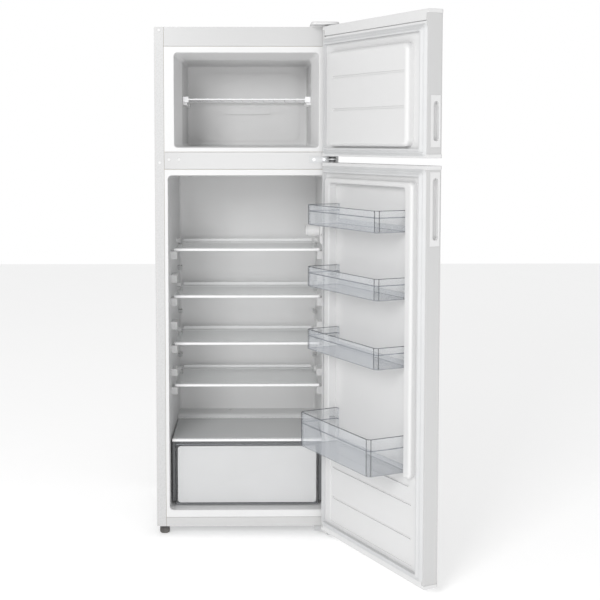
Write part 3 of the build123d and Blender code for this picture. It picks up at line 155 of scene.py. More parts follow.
def build_tone_drift() -> bpy.types.NodeTree:
    """Slow change of tone over a surface, as between one part of a moulding and another.

    Returns:
        The node group.
    """
    sheet, given, result = start_group(
        "tone_drift",
        [("Colour", "NodeSocketColor", (0.8, 0.8, 0.8, 1.0)), ("Amount", "NodeSocketFloat", 0.03),
         ("Scale", "NodeSocketFloat", 4.0)],
        [("Colour", "NodeSocketColor")])
    place = sheet.add("ShaderNodeTexCoord")
    noise = sheet.add("ShaderNodeTexNoise", {"Detail": 3.0, "Roughness": 0.55})
    spread = sheet.add("ShaderNodeMapRange",
                       {"From Min": 0.3, "From Max": 0.7, "To Min": -1.0, "To Max": 0.0})
    scaled = sheet.add("ShaderNodeMath", operation="MULTIPLY_ADD", values={2: 1.0})
    tinted = sheet.add("ShaderNodeVectorMath", operation="SCALE")
    sheet.link(place.outputs["Object"], noise.inputs["Vector"])
    sheet.link(given.outputs["Scale"], noise.inputs["Scale"])
    sheet.link(noise.outputs["Fac"], spread.inputs["Value"])
    sheet.link(spread.outputs["Result"], scaled.inputs[0])
    sheet.link(given.outputs["Amount"], scaled.inputs[1])
    sheet.link(given.outputs["Colour"], tinted.inputs[0])
    sheet.link(scaled.outputs["Value"], tinted.inputs["Scale"])
    sheet.link(tinted.outputs["Vector"], result.inputs["Colour"])
    return sheet.tree


def build_surface_grain() -> bpy.types.NodeTree:
    """Fine grain of a surface, with a broader orange peel under it.

    Returns:
        The node group.
    """
    sheet, given, result = start_group(
        "surface_grain",
        [("Grain Scale", "NodeSocketFloat", 900.0), ("Peel Scale", "NodeSocketFloat", 120.0),
         ("Peel Share", "NodeSocketFloat", 0.5)],
        [("Height", "NodeSocketFloat"), ("Mask", "NodeSocketFloat")])
    place = sheet.add("ShaderNodeTexCoord")
    grain = sheet.add("ShaderNodeTexNoise", {"Detail": 2.0})
    peel = sheet.add("ShaderNodeTexNoise", {"Detail": 1.0, "Roughness": 0.4})
    mix = sheet.add("ShaderNodeMix", data_type="FLOAT")
    for noise, scale in ((grain, "Grain Scale"), (peel, "Peel Scale")):
        sheet.link(place.outputs["Object"], noise.inputs["Vector"])
        sheet.link(given.outputs[scale], noise.inputs["Scale"])
    sheet.link(given.outputs["Peel Share"], mix.inputs["Factor"])
    sheet.link(grain.outputs["Fac"], mix.inputs["A"])
    sheet.link(peel.outputs["Fac"], mix.inputs["B"])
    sheet.link(mix.outputs["Result"], result.inputs["Height"])
    sheet.link(peel.outputs["Fac"], result.inputs["Mask"])
    return sheet.tree


def build_low_dust() -> bpy.types.NodeTree:
    """Dust that settles near the floor, thin and broken up.

    Returns:
        The node group.
    """
    sheet, given, result = start_group(
        "low_dust",
        [("Colour", "NodeSocketColor", (0.8, 0.8, 0.8, 1.0)), ("Amount", "NodeSocketFloat", 0.2),
         ("Reach", "NodeSocketFloat", 0.08)],
        [("Colour", "NodeSocketColor"), ("Mask", "NodeSocketFloat")])
    place = sheet.add("ShaderNodeTexCoord")
    split = sheet.add("ShaderNodeSeparateXYZ")
    fade = sheet.add("ShaderNodeMapRange", {"From Min": 0.0, "To Min": 1.0, "To Max": 0.0})
    noise = sheet.add("ShaderNodeTexNoise", {"Scale": 60.0, "Detail": 4.0})
    broken = sheet.add("ShaderNodeMath", operation="MULTIPLY")
    amount = sheet.add("ShaderNodeMath", operation="MULTIPLY")
    mix = sheet.add("ShaderNodeMix", {"B": (0.42, 0.40, 0.37, 1.0)}, data_type="RGBA")
    sheet.link(place.outputs["Object"], split.inputs["Vector"])
    sheet.link(place.outputs["Object"], noise.inputs["Vector"])
    sheet.link(split.outputs["Z"], fade.inputs["Value"])
    sheet.link(given.outputs["Reach"], fade.inputs["From Max"])
    sheet.link(fade.outputs["Result"], broken.inputs[0])
    sheet.link(noise.outputs["Fac"], broken.inputs[1])
    sheet.link(broken.outputs["Value"], amount.inputs[0])
    sheet.link(given.outputs["Amount"], amount.inputs[1])
    sheet.link(amount.outputs["Value"], mix.inputs["Factor"])
    sheet.link(given.outputs["Colour"], mix.inputs[6])
    sheet.link(mix.outputs[2], result.inputs["Colour"])
    sheet.link(amount.outputs["Value"], result.inputs["Mask"])
    return sheet.tree


def build_painted_shade_line() -> bpy.types.NodeTree:
    """A narrow level band at a height, where painted shade darkens the edge of a clear moulding.

    Returns:
        The node group.
    """
    sheet, given, result = start_group(
        "painted_shade_line",
        [("Height", "NodeSocketFloat", 1.0), ("Width", "NodeSocketFloat", 0.002)],
        [("Mask", "NodeSocketFloat")])
    place = sheet.add("ShaderNodeTexCoord")
    split = sheet.add("ShaderNodeSeparateXYZ")
    away = sheet.add("ShaderNodeMath", operation="SUBTRACT")
    size = sheet.add("ShaderNodeMath", operation="ABSOLUTE")
    fade = sheet.add("ShaderNodeMapRange", {"From Min": 0.0, "To Min": 1.0, "To Max": 0.0},
                     interpolation_type="SMOOTHSTEP")
    sheet.link(place.outputs["Object"], split.inputs["Vector"])
    sheet.link(split.outputs["Z"], away.inputs[0])
    sheet.link(given.outputs["Height"], away.inputs[1])
    sheet.link(away.outputs["Value"], size.inputs[0])
    sheet.link(size.outputs["Value"], fade.inputs["Value"])
    sheet.link(given.outputs["Width"], fade.inputs["From Max"])
    sheet.link(fade.outputs["Result"], result.inputs["Mask"])
    return sheet.tree


# ------------------------------------------------------------------ finishes
@dataclass(frozen=True)
class Finish:
    """An opaque finish: tone drift, fine grain in the gloss and in the surface, and a coat.

    Attributes:
        name: The material's name.
        slot: The record's material slot; not used.
        colour: Base colour.
        roughness: Middle of the roughness.
        spread: How far the roughness strays from its middle.
        drift: Amount of slow tone change.
        drift_scale: Scale of the tone change.
        grain: Scale of the fine grain.
        peel: Scale of the orange peel.
        peel_share: Share of orange peel in the height.
        bump: Height of the surface texture, in metres.
        metallic: Metallic value.
        coat: Weight of the clear coat.
        dust: Amount of dust near the floor.
    """

    name: str
    slot: str
    colour: Colour
    roughness: float = 0.35
    spread: float = 0.05
    drift: float = 0.03
    drift_scale: float = 4.0
    grain: float = 900.0
    peel: float = 120.0
    peel_share: float = 0.5
    bump: float = 0.0001
    metallic: float = 0.0
    coat: float = 0.0
    dust: float = 0.0

    def start(self) -> tuple:
        """Makes the material with its colour, gloss and surface.

        Returns:
            The material, its sheet, its shader and the socket that feeds its colour.
        """
        material = bpy.data.materials.new(self.name)
        material.use_nodes = True
        sheet = Sheet(material.node_tree)
        shader = material.node_tree.nodes["Principled BSDF"]
        shader.inputs["Metallic"].default_value = self.metallic
        shader.inputs["Coat Weight"].default_value = self.coat
        shader.inputs["Coat Roughness"].default_value = 0.12
        tone = sheet.add("ShaderNodeGroup", node_tree=shared_group("tone_drift", build_tone_drift))
        tone.inputs["Colour"].default_value = (*self.colour, 1.0)
        tone.inputs["Amount"].default_value = self.drift
        tone.inputs["Scale"].default_value = self.drift_scale
        grain = sheet.add("ShaderNodeGroup", node_tree=shared_group("surface_grain", build_surface_grain))
        grain.inputs["Grain Scale"].default_value = self.grain
        grain.inputs["Peel Scale"].default_value = self.peel
        grain.inputs["Peel Share"].default_value = self.peel_share
        gloss = sheet.add("ShaderNodeMapRange", {"From Min": 0.25, "From Max": 0.75,
                                                 "To Min": max(self.roughness - self.spread, 0.02),
                                                 "To Max": self.roughness + self.spread})
        bump = sheet.add("ShaderNodeBump", {"Strength": 0.6, "Distance": self.bump})
        sheet.link(grain.outputs["Mask"], gloss.inputs["Value"])
        sheet.link(gloss.outputs["Result"], shader.inputs["Roughness"])
        sheet.link(grain.outputs["Height"], bump.inputs["Height"])
        sheet.link(bump.outputs["Normal"], shader.inputs["Normal"])
        colour = tone.outputs["Colour"]
        if self.dust > 0.0:
            dust = sheet.add("ShaderNodeGroup", node_tree=shared_group("low_dust", build_low_dust))
            dust.inputs["Amount"].default_value = self.dust
            sheet.link(colour, dust.inputs["Colour"])
            colour = dust.outputs["Colour"]
        sheet.link(colour, shader.inputs["Base Color"])
        return material, sheet, shader, colour

    def make(self) -> bpy.types.Material:
        """Makes the material."""
        return self.start()[0]


@dataclass(frozen=True)
class ClearFinish(Finish):
    """A clear sheet or moulding: see-through face on, denser at a glance, and darkened along its edges by painted
    shade.

    Attributes:
        facing: Opacity seen face on.
        grazing: Opacity seen at a glancing angle.
        lines: Heights of the level edges that carry lines of painted shade, in metres.
        shade_width: Half width of such a painted shade line.
        shade_colour: Colour of the painted shade along the lines.
    """

    facing: float = 0.2
    grazing: float = 0.8
    lines: tuple[float, ...] = ()
    shade_width: float = 0.0022
    # dark colour of the painted shade along the edge lines
    shade_colour: Colour = (0.16, 0.175, 0.20)

    def make(self) -> bpy.types.Material:
        """Makes the material.

        Returns:
            The material, with its opacity led by the angle of view and by its lines of painted shade.
        """
        material, sheet, shader, colour = self.start()
        weight = sheet.add("ShaderNodeLayerWeight", {"Blend": 0.35})
        dense = sheet.add("ShaderNodeMapRange", {"From Min": 0.0, "From Max": 1.0, "To Min": self.facing,
                                                 "To Max": self.grazing})
        sheet.link(weight.outputs["Facing"], dense.inputs["Value"])
        alpha = dense.outputs["Result"]
        # each line is painted shade: a darker colour and a denser sheet at its height
        for height in self.lines:
            line = sheet.add("ShaderNodeGroup", node_tree=shared_group("painted_shade_line", build_painted_shade_line))
            line.inputs["Height"].default_value = height
            line.inputs["Width"].default_value = self.shade_width
            shade_mix = sheet.add("ShaderNodeMix", {"B": (*self.shade_colour, 1.0)}, data_type="RGBA")
            shade_mix.inputs[7].default_value = (*self.shade_colour, 1.0)
            sheet.link(line.outputs["Mask"], shade_mix.inputs["Factor"])
            sheet.link(colour, shade_mix.inputs[6])
            colour = shade_mix.outputs[2]
            more = sheet.add("ShaderNodeMath", operation="MAXIMUM")
            share = sheet.add("ShaderNodeMath", operation="MULTIPLY", values={1: 0.85})
            sheet.link(line.outputs["Mask"], share.inputs[0])
            sheet.link(alpha, more.inputs[0])
            sheet.link(share.outputs["Value"], more.inputs[1])
            alpha = more.outputs["Value"]
        sheet.link(colour, shader.inputs["Base Color"])
        sheet.link(alpha, shader.inputs["Alpha"])
        return material


ENAMEL = Finish("white_enamel", "white_enamel", (0.571, 0.571, 0.571), 0.24, 0.03, 0.015, 1.5, 1400.0,
                260.0, 0.85,
                0.00006, coat=0.35, dust=0.25)
SHELL_ENAMEL = Finish("shell_enamel", "white_enamel", (0.563, 0.563, 0.563), 0.28, 0.04, 0.02, 2.0,
                      1400.0, 240.0,
                      0.85, 0.00008, coat=0.3, dust=0.25)
LINER = Finish("liner_sheet", "white_liner", (0.722, 0.722, 0.722), 0.36, 0.06, 0.03, 3.0, 1100.0, 90.0,
               0.6, 0.00010)
DOOR_LINER = Finish("door_liner_sheet", "white_liner", (0.706, 0.706, 0.706), 0.33, 0.05, 0.02, 3.0,
                    1100.0, 90.0,
                    0.6, 0.00008)
MOULDING = Finish("white_moulding", "white_plastic", (0.70, 0.70, 0.70), 0.38, 0.06, 0.02, 6.0, 1600.0,
                  200.0, 0.3,
                  0.00006)
GREY_MOULDING = Finish("grey_white_moulding", "white_plastic", (0.60, 0.60, 0.605), 0.42, 0.06, 0.02, 6.0,
                       1600.0,
                       200.0, 0.3, 0.00006)
SHELF_TRIM = Finish("shelf_trim_moulding", "white_plastic", (0.86, 0.86, 0.865), 0.30, 0.05, 0.02, 8.0,
                    1600.0,
                    200.0, 0.3, 0.00005)
GASKET = Finish("gasket_vinyl", "gasket", (0.62, 0.625, 0.63), 0.55, 0.08, 0.05, 12.0, 2200.0, 300.0, 0.3,
                0.00008)
FOAM = Finish("hidden_foam", "foam", (0.72, 0.66, 0.48), 0.9, 0.05, 0.12, 20.0, 600.0, 200.0, 0.5, 0.0006)
BLACK_MOULDING = Finish("black_moulding", "black_plastic", (0.018, 0.018, 0.02), 0.5, 0.1, 0.2, 15.0,
                        1800.0, 400.0,
                        0.3, 0.0001, dust=0.5)
GUIDE_MOULDING = Finish("dark_guide_moulding", "black_plastic", (0.13, 0.134, 0.14), 0.5, 0.08, 0.1, 15.0,
                        1800.0,
                        400.0, 0.3, 0.0001)
BLACK_PAINT = Finish("black_paint", "black_metal", (0.02, 0.02, 0.022), 0.32, 0.08, 0.15, 10.0, 1500.0,
                     180.0, 0.7,
                     0.00012, coat=0.2)
ZINC = Finish("zinc_sheet", "grey_steel", (0.46, 0.47, 0.48), 0.42, 0.12, 0.12, 18.0, 700.0, 40.0, 0.7,
              0.00008,
              metallic=0.85, dust=0.4)
HINGE_PAINT = Finish("hinge_paint", "hinge_steel", (0.50, 0.505, 0.51), 0.34, 0.06, 0.06, 25.0, 1500.0,
                     250.0, 0.5,
                     0.00006, metallic=0.35)
SCREW_STEEL = Finish("screw_steel", "screw_steel", (0.55, 0.56, 0.57), 0.3, 0.1, 0.1, 60.0, 3000.0, 500.0,
                     0.3,
                     0.00004, metallic=1.0)
ALUMINIUM = Finish("aluminium_sheet", "aluminium", (0.78, 0.79, 0.80), 0.35, 0.08, 0.05, 10.0, 900.0,
                   60.0, 0.5,
                   0.00006, metallic=1.0)
COPPER = Finish("copper_tube", "copper", (0.62, 0.30, 0.17), 0.3, 0.1, 0.2, 30.0, 1200.0, 200.0, 0.4, 0.00006,
                metallic=1.0)
COATED_WIRE = Finish("coated_wire", "wire", (0.84, 0.84, 0.85), 0.3, 0.05, 0.02, 20.0, 1500.0, 300.0, 0.5,
                     0.00005,
                     coat=0.2)
SHELF_GLASS = ClearFinish("shelf_glass", "glass", (0.82, 0.86, 0.86), 0.06, 0.02, 0.02, 3.0, 200.0, 20.0, 0.8,
                          0.00001, facing=0.05, grazing=0.30)
COVER_GLASS = ClearFinish("cover_glass", "glass", (0.90, 0.91, 0.91), 0.08, 0.02, 0.02, 3.0, 200.0, 20.0, 0.8,
                          0.00001, facing=0.46, grazing=0.60)
FROSTED = ClearFinish("frosted_panel", "clear_plastic", (0.84, 0.845, 0.85), 0.38, 0.06, 0.03, 6.0,
                      2600.0, 300.0,
                      0.3, 0.00008, facing=0.60, grazing=0.8)
LENS = ClearFinish("lamp_lens", "lens", (0.85, 0.87, 0.88), 0.25, 0.05, 0.02, 6.0, 900.0, 300.0, 0.3, 0.0001,
                   facing=0.6, grazing=0.9)
# real clear rims and corner edges of the bins, their dark tone painted shade
SHADED_RIM = ClearFinish("clear_edge_painted_shade", "clear_plastic", (0.11, 0.12, 0.135), 0.14, 0.04, 0.05, 10.0, 900.0, 80.0,
                  0.6,
                  0.00004, facing=0.60, grazing=0.85)


@dataclass
class Wardrobe:
    """Makes each finish once and hands it out."""

    made: dict[str, bpy.types.Material] = field(default_factory=dict)

    def get(self, finish: Finish) -> bpy.types.Material:
        """Returns the material of a finish, made the first time it is asked for."""
        if finish.name not in self.made:
            self.made[finish.name] = finish.make()
        return self.made[finish.name]

    def dress(self, nodes: dict, finish: Finish, *names: str) -> None:
        """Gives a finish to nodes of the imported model.

        Args:
            nodes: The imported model's nodes by name.
            finish: The finish they take.
            *names: The nodes' names.
        """
        for name in names:
            slots = nodes[name].data.materials
            slots.clear()
            slots.append(self.get(finish))


# ------------------------------------------------------------------ modelling helpers
def deselect() -> None:
    """Leaves edit mode and selects nothing."""
    if bpy.context.object and bpy.context.object.mode != "OBJECT":
        bpy.ops.object.mode_set(mode="OBJECT")
    bpy.ops.object.select_all(action="DESELECT")


def take(piece: bpy.types.Object) -> None:
    """Makes one object the only selected and the active one."""
    deselect()
    piece.select_set(True)
    bpy.context.view_layer.objects.active = piece


def pick_faces(piece: bpy.types.Object, test: Callable[[bmesh.types.BMFace], bool]) -> int:
    """Enters edit mode with the faces selected that pass a test.

    Args:
        piece: The object to edit.
        test: Says of each face whether it is wanted.

    Returns:
        How many faces are selected.
    """
    take(piece)
    bpy.ops.object.mode_set(mode="EDIT")
    bpy.ops.mesh.select_mode(type="FACE")
    bpy.ops.mesh.select_all(action="DESELECT")
    mesh = bmesh.from_edit_mesh(piece.data)
    mesh.faces.ensure_lookup_table()
    wanted = [face for face in mesh.faces if test(face)]
    for face in wanted:
        face.select_set(True)
    bmesh.update_edit_mesh(piece.data)
    return len(wanted)


def leave() -> None:
    """Returns to object mode."""
    bpy.ops.object.mode_set(mode="OBJECT")


def settle(piece: bpy.types.Object) -> None:
    """Puts an object's place, turn and scale into its mesh."""
    take(piece)
    bpy.ops.object.transform_apply(location=True, rotation=True, scale=True)


def soften(piece: bpy.types.Object, width: float, segments: int = 2) -> None:
    """Rounds the edges of a piece with an applied bevel.

    Args:
        piece: The object to round.
        width: Width of the bevel, in metres.
        segments: Number of segments.
    """
    take(piece)
    bevel = piece.modifiers.new("rounding", "BEVEL")
    bevel.width = width
    bevel.segments = segments
    bevel.limit_method = "ANGLE"
    bevel.angle_limit = math.radians(35)
    bpy.ops.object.modifier_apply(modifier=bevel.name)
    bpy.ops.object.shade_smooth_by_angle(angle=math.radians(35))


def slab(low: Vector, high: Vector) -> bpy.types.Object:
    """A block between two corners, ready to be shaped.

    Args:
        low: Lowest corner.
        high: Highest corner.

    Returns:
        The new object, with its place in its mesh.
    """
    deselect()
    bpy.ops.mesh.primitive_cube_add(size=1.0, location=(low + high) / 2)
    piece = bpy.context.object
    piece.scale = high - low
    settle(piece)
    return piece


def drum(centre: Vector, axis: Axis, radius: float, length: float, sides: int) -> bpy.types.Object:
    """A round bar about an axis, ready to be shaped.

    Args:
        centre: Middle of the bar.
        axis: Direction of the bar.
        radius: Radius in metres.
        length: Length in metres.
        sides: Number of flat sides.

    Returns:
        The new object, with its place in its mesh.
    """
    deselect()
    bpy.ops.mesh.primitive_cylinder_add(vertices=sides, radius=radius, depth=length, location=centre)
    piece = bpy.context.object
    piece.rotation_euler = axis.vector.to_track_quat("Z", "Y").to_euler()
    settle(piece)
    return piece


def ribbed_drum(centre: Vector, axis: Axis, radius: float, length: float, ribs: int,
                height: float) -> bpy.types.Object:
    """A round bar with ribs along it, such as the grip of a knob.

    Args:
        centre: Middle of the bar.
        axis: Direction of the bar.
        radius: Radius between the ribs, in metres.
        length: Length in metres.
        ribs: Number of ribs.
        height: Height of the ribs, in metres.

    Returns:
        The new object.
    """
    piece = drum(centre, axis, radius, length, ribs * 2)

    def is_rib(face: bmesh.types.BMFace) -> bool:
        """Says whether a face is one of every other side face."""
        return abs(face.normal.dot(axis.vector)) < 0.5 and face.index % 2 == 0

    pick_faces(piece, is_rib)
    bpy.ops.mesh.inset(thickness=radius * 0.03, depth=height, use_individual=True)
    leave()
    pick_faces(piece, lambda face: abs(face.normal.dot(axis.vector)) > 0.9)
    bpy.ops.mesh.inset(thickness=radius * 0.12, depth=-length * 0.04)
    leave()
    bpy.ops.object.shade_smooth_by_angle(angle=math.radians(30))
    return piece


def swing() -> Matrix:
    """Turn of a door from closed to its place at rest, about its hinge."""
    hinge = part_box("middle_hinge")
    # the pin stands one arm's half width in from the arm's free end and outer side
    pin = Vector((hinge[1][0] - 14 * MM, hinge[0][1] + 14 * MM, 0.0))
    return Matrix.Translation(pin) @ Matrix.Rotation(DOOR_SWING, 4, "Z") @ Matrix.Translation(-pin)


def closed_box(node: bpy.types.Object) -> tuple[Vector, Vector]:
    """Corners of a door's node in the axes of the closed door.

    Args:
        node: A node that rides on a door.

    Returns:
        Lowest and highest corner.
    """
    back = swing().inverted()
    points = [back @ vertex.co for vertex in node.data.vertices]
    low = Vector([min(point[axis] for point in points) for axis in range(3)])
    high = Vector([max(point[axis] for point in points) for axis in range(3)])
    return low, high


def join(pieces: list[bpy.types.Object]) -> bpy.types.Object:
    """Joins objects into the first one.

    Args:
        pieces: The objects, at least one.

    Returns:
        The joined object.
    """
    deselect()
    for piece in pieces:
        piece.select_set(True)
    bpy.context.view_layer.objects.active = pieces[0]
    if len(pieces) > 1:
        bpy.ops.object.join()
    return pieces[0]


def copy_at(piece: bpy.types.Object, moves: Iterable[Vector]) -> bpy.types.Object:
    """Repeats a piece with a mesh of its own at each place, and joins the copies.

    Args:
        piece: The piece to repeat, used up by this.
        moves: The shift of each copy from the piece's own place.

    Returns:
        The joined object.
    """
    copies = []
    for move in moves:
        take(piece)
        bpy.ops.object.duplicate(linked=False)
        copy = bpy.context.object
        copy.location = move
        settle(copy)
        copies.append(copy)
    take(piece)
    bpy.ops.object.delete()
    return join(copies)


def finish_piece(piece: bpy.types.Object, name: str, body: str, material: bpy.types.Material) -> bpy.types.Object:
    """Names and dresses a new piece, and makes it ride.

    Args:
        piece: The finished object.
        name: Its name.
        body: The body it rides on.
        material: Its material.

    Returns:
        The same object.
    """
    deselect()
    piece.name = name
    piece.data.materials.clear()
    piece.data.materials.append(material)
    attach(piece, body)
    log.info("%s rides on %s with %d faces", name, body, len(piece.data.polygons))
    return piece


# ------------------------------------------------------------------ sub-assemblies
@dataclass
class Cabinet:
    """Outer shell, front panels, liners and hinges.

    Attributes:
        nodes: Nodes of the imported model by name.
        wardrobe: The finishes.
        screw_radius: Head radius of the back panel's screws.
        screw_rows: Screws along each side of the back panel.
    """

    nodes: dict
    wardrobe: Wardrobe
    screw_radius: float = 4.0 * MM
    screw_rows: int = 6

    def dress(self) -> None:
        """Gives every node of the cabinet its finish."""
        dress = self.wardrobe.dress
        dress(self.nodes, SHELL_ENAMEL, "outer_shell")
        dress(self.nodes, ENAMEL, "top_front_panel", "mid_rail", "bottom_front_panel")
        dress(self.nodes, LINER, "freezer_liner", "fridge_liner")
        dress(self.nodes, ZINC, "back_panel", "base_pan")
        dress(self.nodes, FOAM, "cabinet_foam", "freezer_door_foam", "fridge_door_foam")
        dress(self.nodes, ALUMINIUM, "freezer_evaporator", "fridge_evaporator")
        dress(self.nodes, MOULDING, "top_hinge_cover", "hole_plugs")
        dress(self.nodes, HINGE_PAINT, "top_hinge", "middle_hinge", "bottom_hinge")
        dress(self.nodes, SCREW_STEEL, "hinge_screws")

    def build_screws(self) -> None:
        """Builds the screws that hold the back panel, in two rows down its sides."""
        low, high = (Vector(corner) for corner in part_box("back_panel"))
        edge, seat = 14 * MM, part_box("outer_shell")[1][1]
        first = Vector((low.x + edge, seat + 0.9 * MM, low.z + 24 * MM))
        head = drum(first, Axis.Y, self.screw_radius, 1.8 * MM, 18)
        pick_faces(head, lambda face: face.normal.y > 0.9)
        bpy.ops.mesh.inset(thickness=1.2 * MM, depth=0.5 * MM)
        bpy.ops.mesh.inset(thickness=1.2 * MM, depth=-0.9 * MM)
        leave()
        soften(head, 0.15 * MM, 1)
        pitch = (high.z - low.z - 48 * MM) / (self.screw_rows - 1)
        moves = [Vector((side * (high.x - low.x - 2 * edge), 0.0, row * pitch))
                 for side in (0, 1) for row in range(self.screw_rows)]
        screws = copy_at(head, moves)
        finish_piece(screws, "back_panel_screws", Body.CABINET.value, self.wardrobe.get(SCREW_STEEL))

    def build_washers(self) -> None:
        """Builds the black washers between the middle hinge's arm and the doors."""
        low, high = (Vector(corner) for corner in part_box("middle_hinge"))
        x, y = high.x - 14 * MM, low.y + 14 * MM
        middle = (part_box("fridge_door_end_caps")[1][2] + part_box("freezer_door_end_caps")[0][2]) / 2
        for name, step in (("upper_hinge_washer", 1), ("lower_hinge_washer", -1)):
            centre = Vector((x, y, middle + step * 4.6 * MM))
            ring = drum(centre, Axis.Z, 10.5 * MM, 3.6 * MM, 48)
            pick_faces(ring, lambda face: abs(face.normal.z) > 0.9)
            bpy.ops.mesh.inset(thickness=2.0 * MM, depth=-0.5 * MM)
            leave()
            soften(ring, 0.4 * MM)
            finish_piece(ring, name, Body.CABINET.value, self.wardrobe.get(BLACK_MOULDING))


@dataclass
class Machine:
    """Compressor compartment and the condenser on the back.

    Attributes:
        nodes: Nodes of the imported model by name.
        wardrobe: The finishes.
        wires: Number of wires across the condenser's runs.
        wire_radius: Radius of one wire.
    """

    nodes: dict
    wardrobe: Wardrobe
    wires: int = 56
    wire_radius: float = 0.8 * MM

    def dress(self) -> None:
        """Gives the machine's nodes their finishes."""
        dress = self.wardrobe.dress
        dress(self.nodes, BLACK_PAINT, "compressor", "condenser")
        dress(self.nodes, BLACK_MOULDING, "relay_box")
        dress(self.nodes, GREY_MOULDING, "drip_tray", "drain_tube")
        dress(self.nodes, COPPER, "refrigerant_pipes")

    def build_wires(self) -> None:
        """Builds the upright wires welded to both faces of the condenser's runs."""
        low, high = (Vector(corner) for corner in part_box("condenser"))
        tube = 2.5 * MM
        middle = high.y - tube
        span = Vector((high.x - low.x - 70 * MM, 0.0, 0.0))
        first = Vector((low.x + 35 * MM, middle, (low.z + high.z) / 2))
        wire = drum(first, Axis.Z, self.wire_radius, high.z - low.z - 6 * MM, 6)
        pick_faces(wire, lambda face: abs(face.normal.z) > 0.9)
        bpy.ops.mesh.inset(thickness=self.wire_radius * 0.4, depth=self.wire_radius * 0.4)
        leave()
        off = tube + self.wire_radius * 0.7
        moves = [span * (number / (self.wires - 1)) + Vector((0.0, off if number % 2 else -off, 0.0))
                 for number in range(self.wires)]
        grid = copy_at(wire, moves)
        bpy.ops.object.shade_smooth_by_angle(angle=math.radians(40))
        finish_piece(grid, "condenser_wires", Body.CABINET.value, self.wardrobe.get(BLACK_PAINT))


@dataclass
class Door:
    """One door with its gasket, liner and grip.

    Attributes:
        nodes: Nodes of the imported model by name.
        wardrobe: The finishes.
        body: The body the door's pieces ride on.
        bead: Radius of the gasket's bead.
    """

    nodes: dict
    wardrobe: Wardrobe
    body: Body
    bead: float = 1.3 * MM

    def dress(self) -> None:
        """Gives the door's nodes their finishes."""
        name, dress = self.body.value, self.wardrobe.dress
        dress(self.nodes, ENAMEL, f"{name}_skin")
        dress(self.nodes, MOULDING, f"{name}_end_caps", f"{name}_grip")
        dress(self.nodes, DOOR_LINER, f"{name}_liner")
        dress(self.nodes, GASKET, f"{name}_gasket")

    def build_bead(self) -> None:
        """Builds the rounded bead along the gasket's sloping flank."""
        low, high = closed_box(self.nodes[f"{self.body.value}_gasket"])
        lean = 8 * MM
        deselect()
        middle = (low + high) / 2
        bpy.ops.mesh.primitive_plane_add(size=1.0, location=(middle.x, low.y + 6 * MM, middle.z),
                                         rotation=(math.radians(90), 0.0, 0.0))
        ring = bpy.context.object
        ring.scale = (high.x - low.x - 2 * lean, high.z - low.z - 2 * lean, 1.0)
        settle(ring)
        bpy.ops.object.mode_set(mode="EDIT")
        bpy.ops.mesh.select_all(action="SELECT")
        bpy.ops.mesh.bevel(offset=8 * MM, segments=5, affect="VERTICES")
        bpy.ops.mesh.select_all(action="SELECT")
        bpy.ops.mesh.delete(type="ONLY_FACE")
        leave()
        bpy.ops.object.convert(target="CURVE")
        ring = bpy.context.object
        ring.data.bevel_depth = self.bead
        ring.data.bevel_resolution = 2
        bpy.ops.object.convert(target="MESH")
        ring = bpy.context.object
        ring.matrix_world = swing()
        settle(ring)
        bpy.ops.object.shade_smooth_by_angle(angle=math.radians(50))
        finish_piece(ring, f"{self.body.value}_gasket_bead", self.body.value, self.wardrobe.get(GASKET))


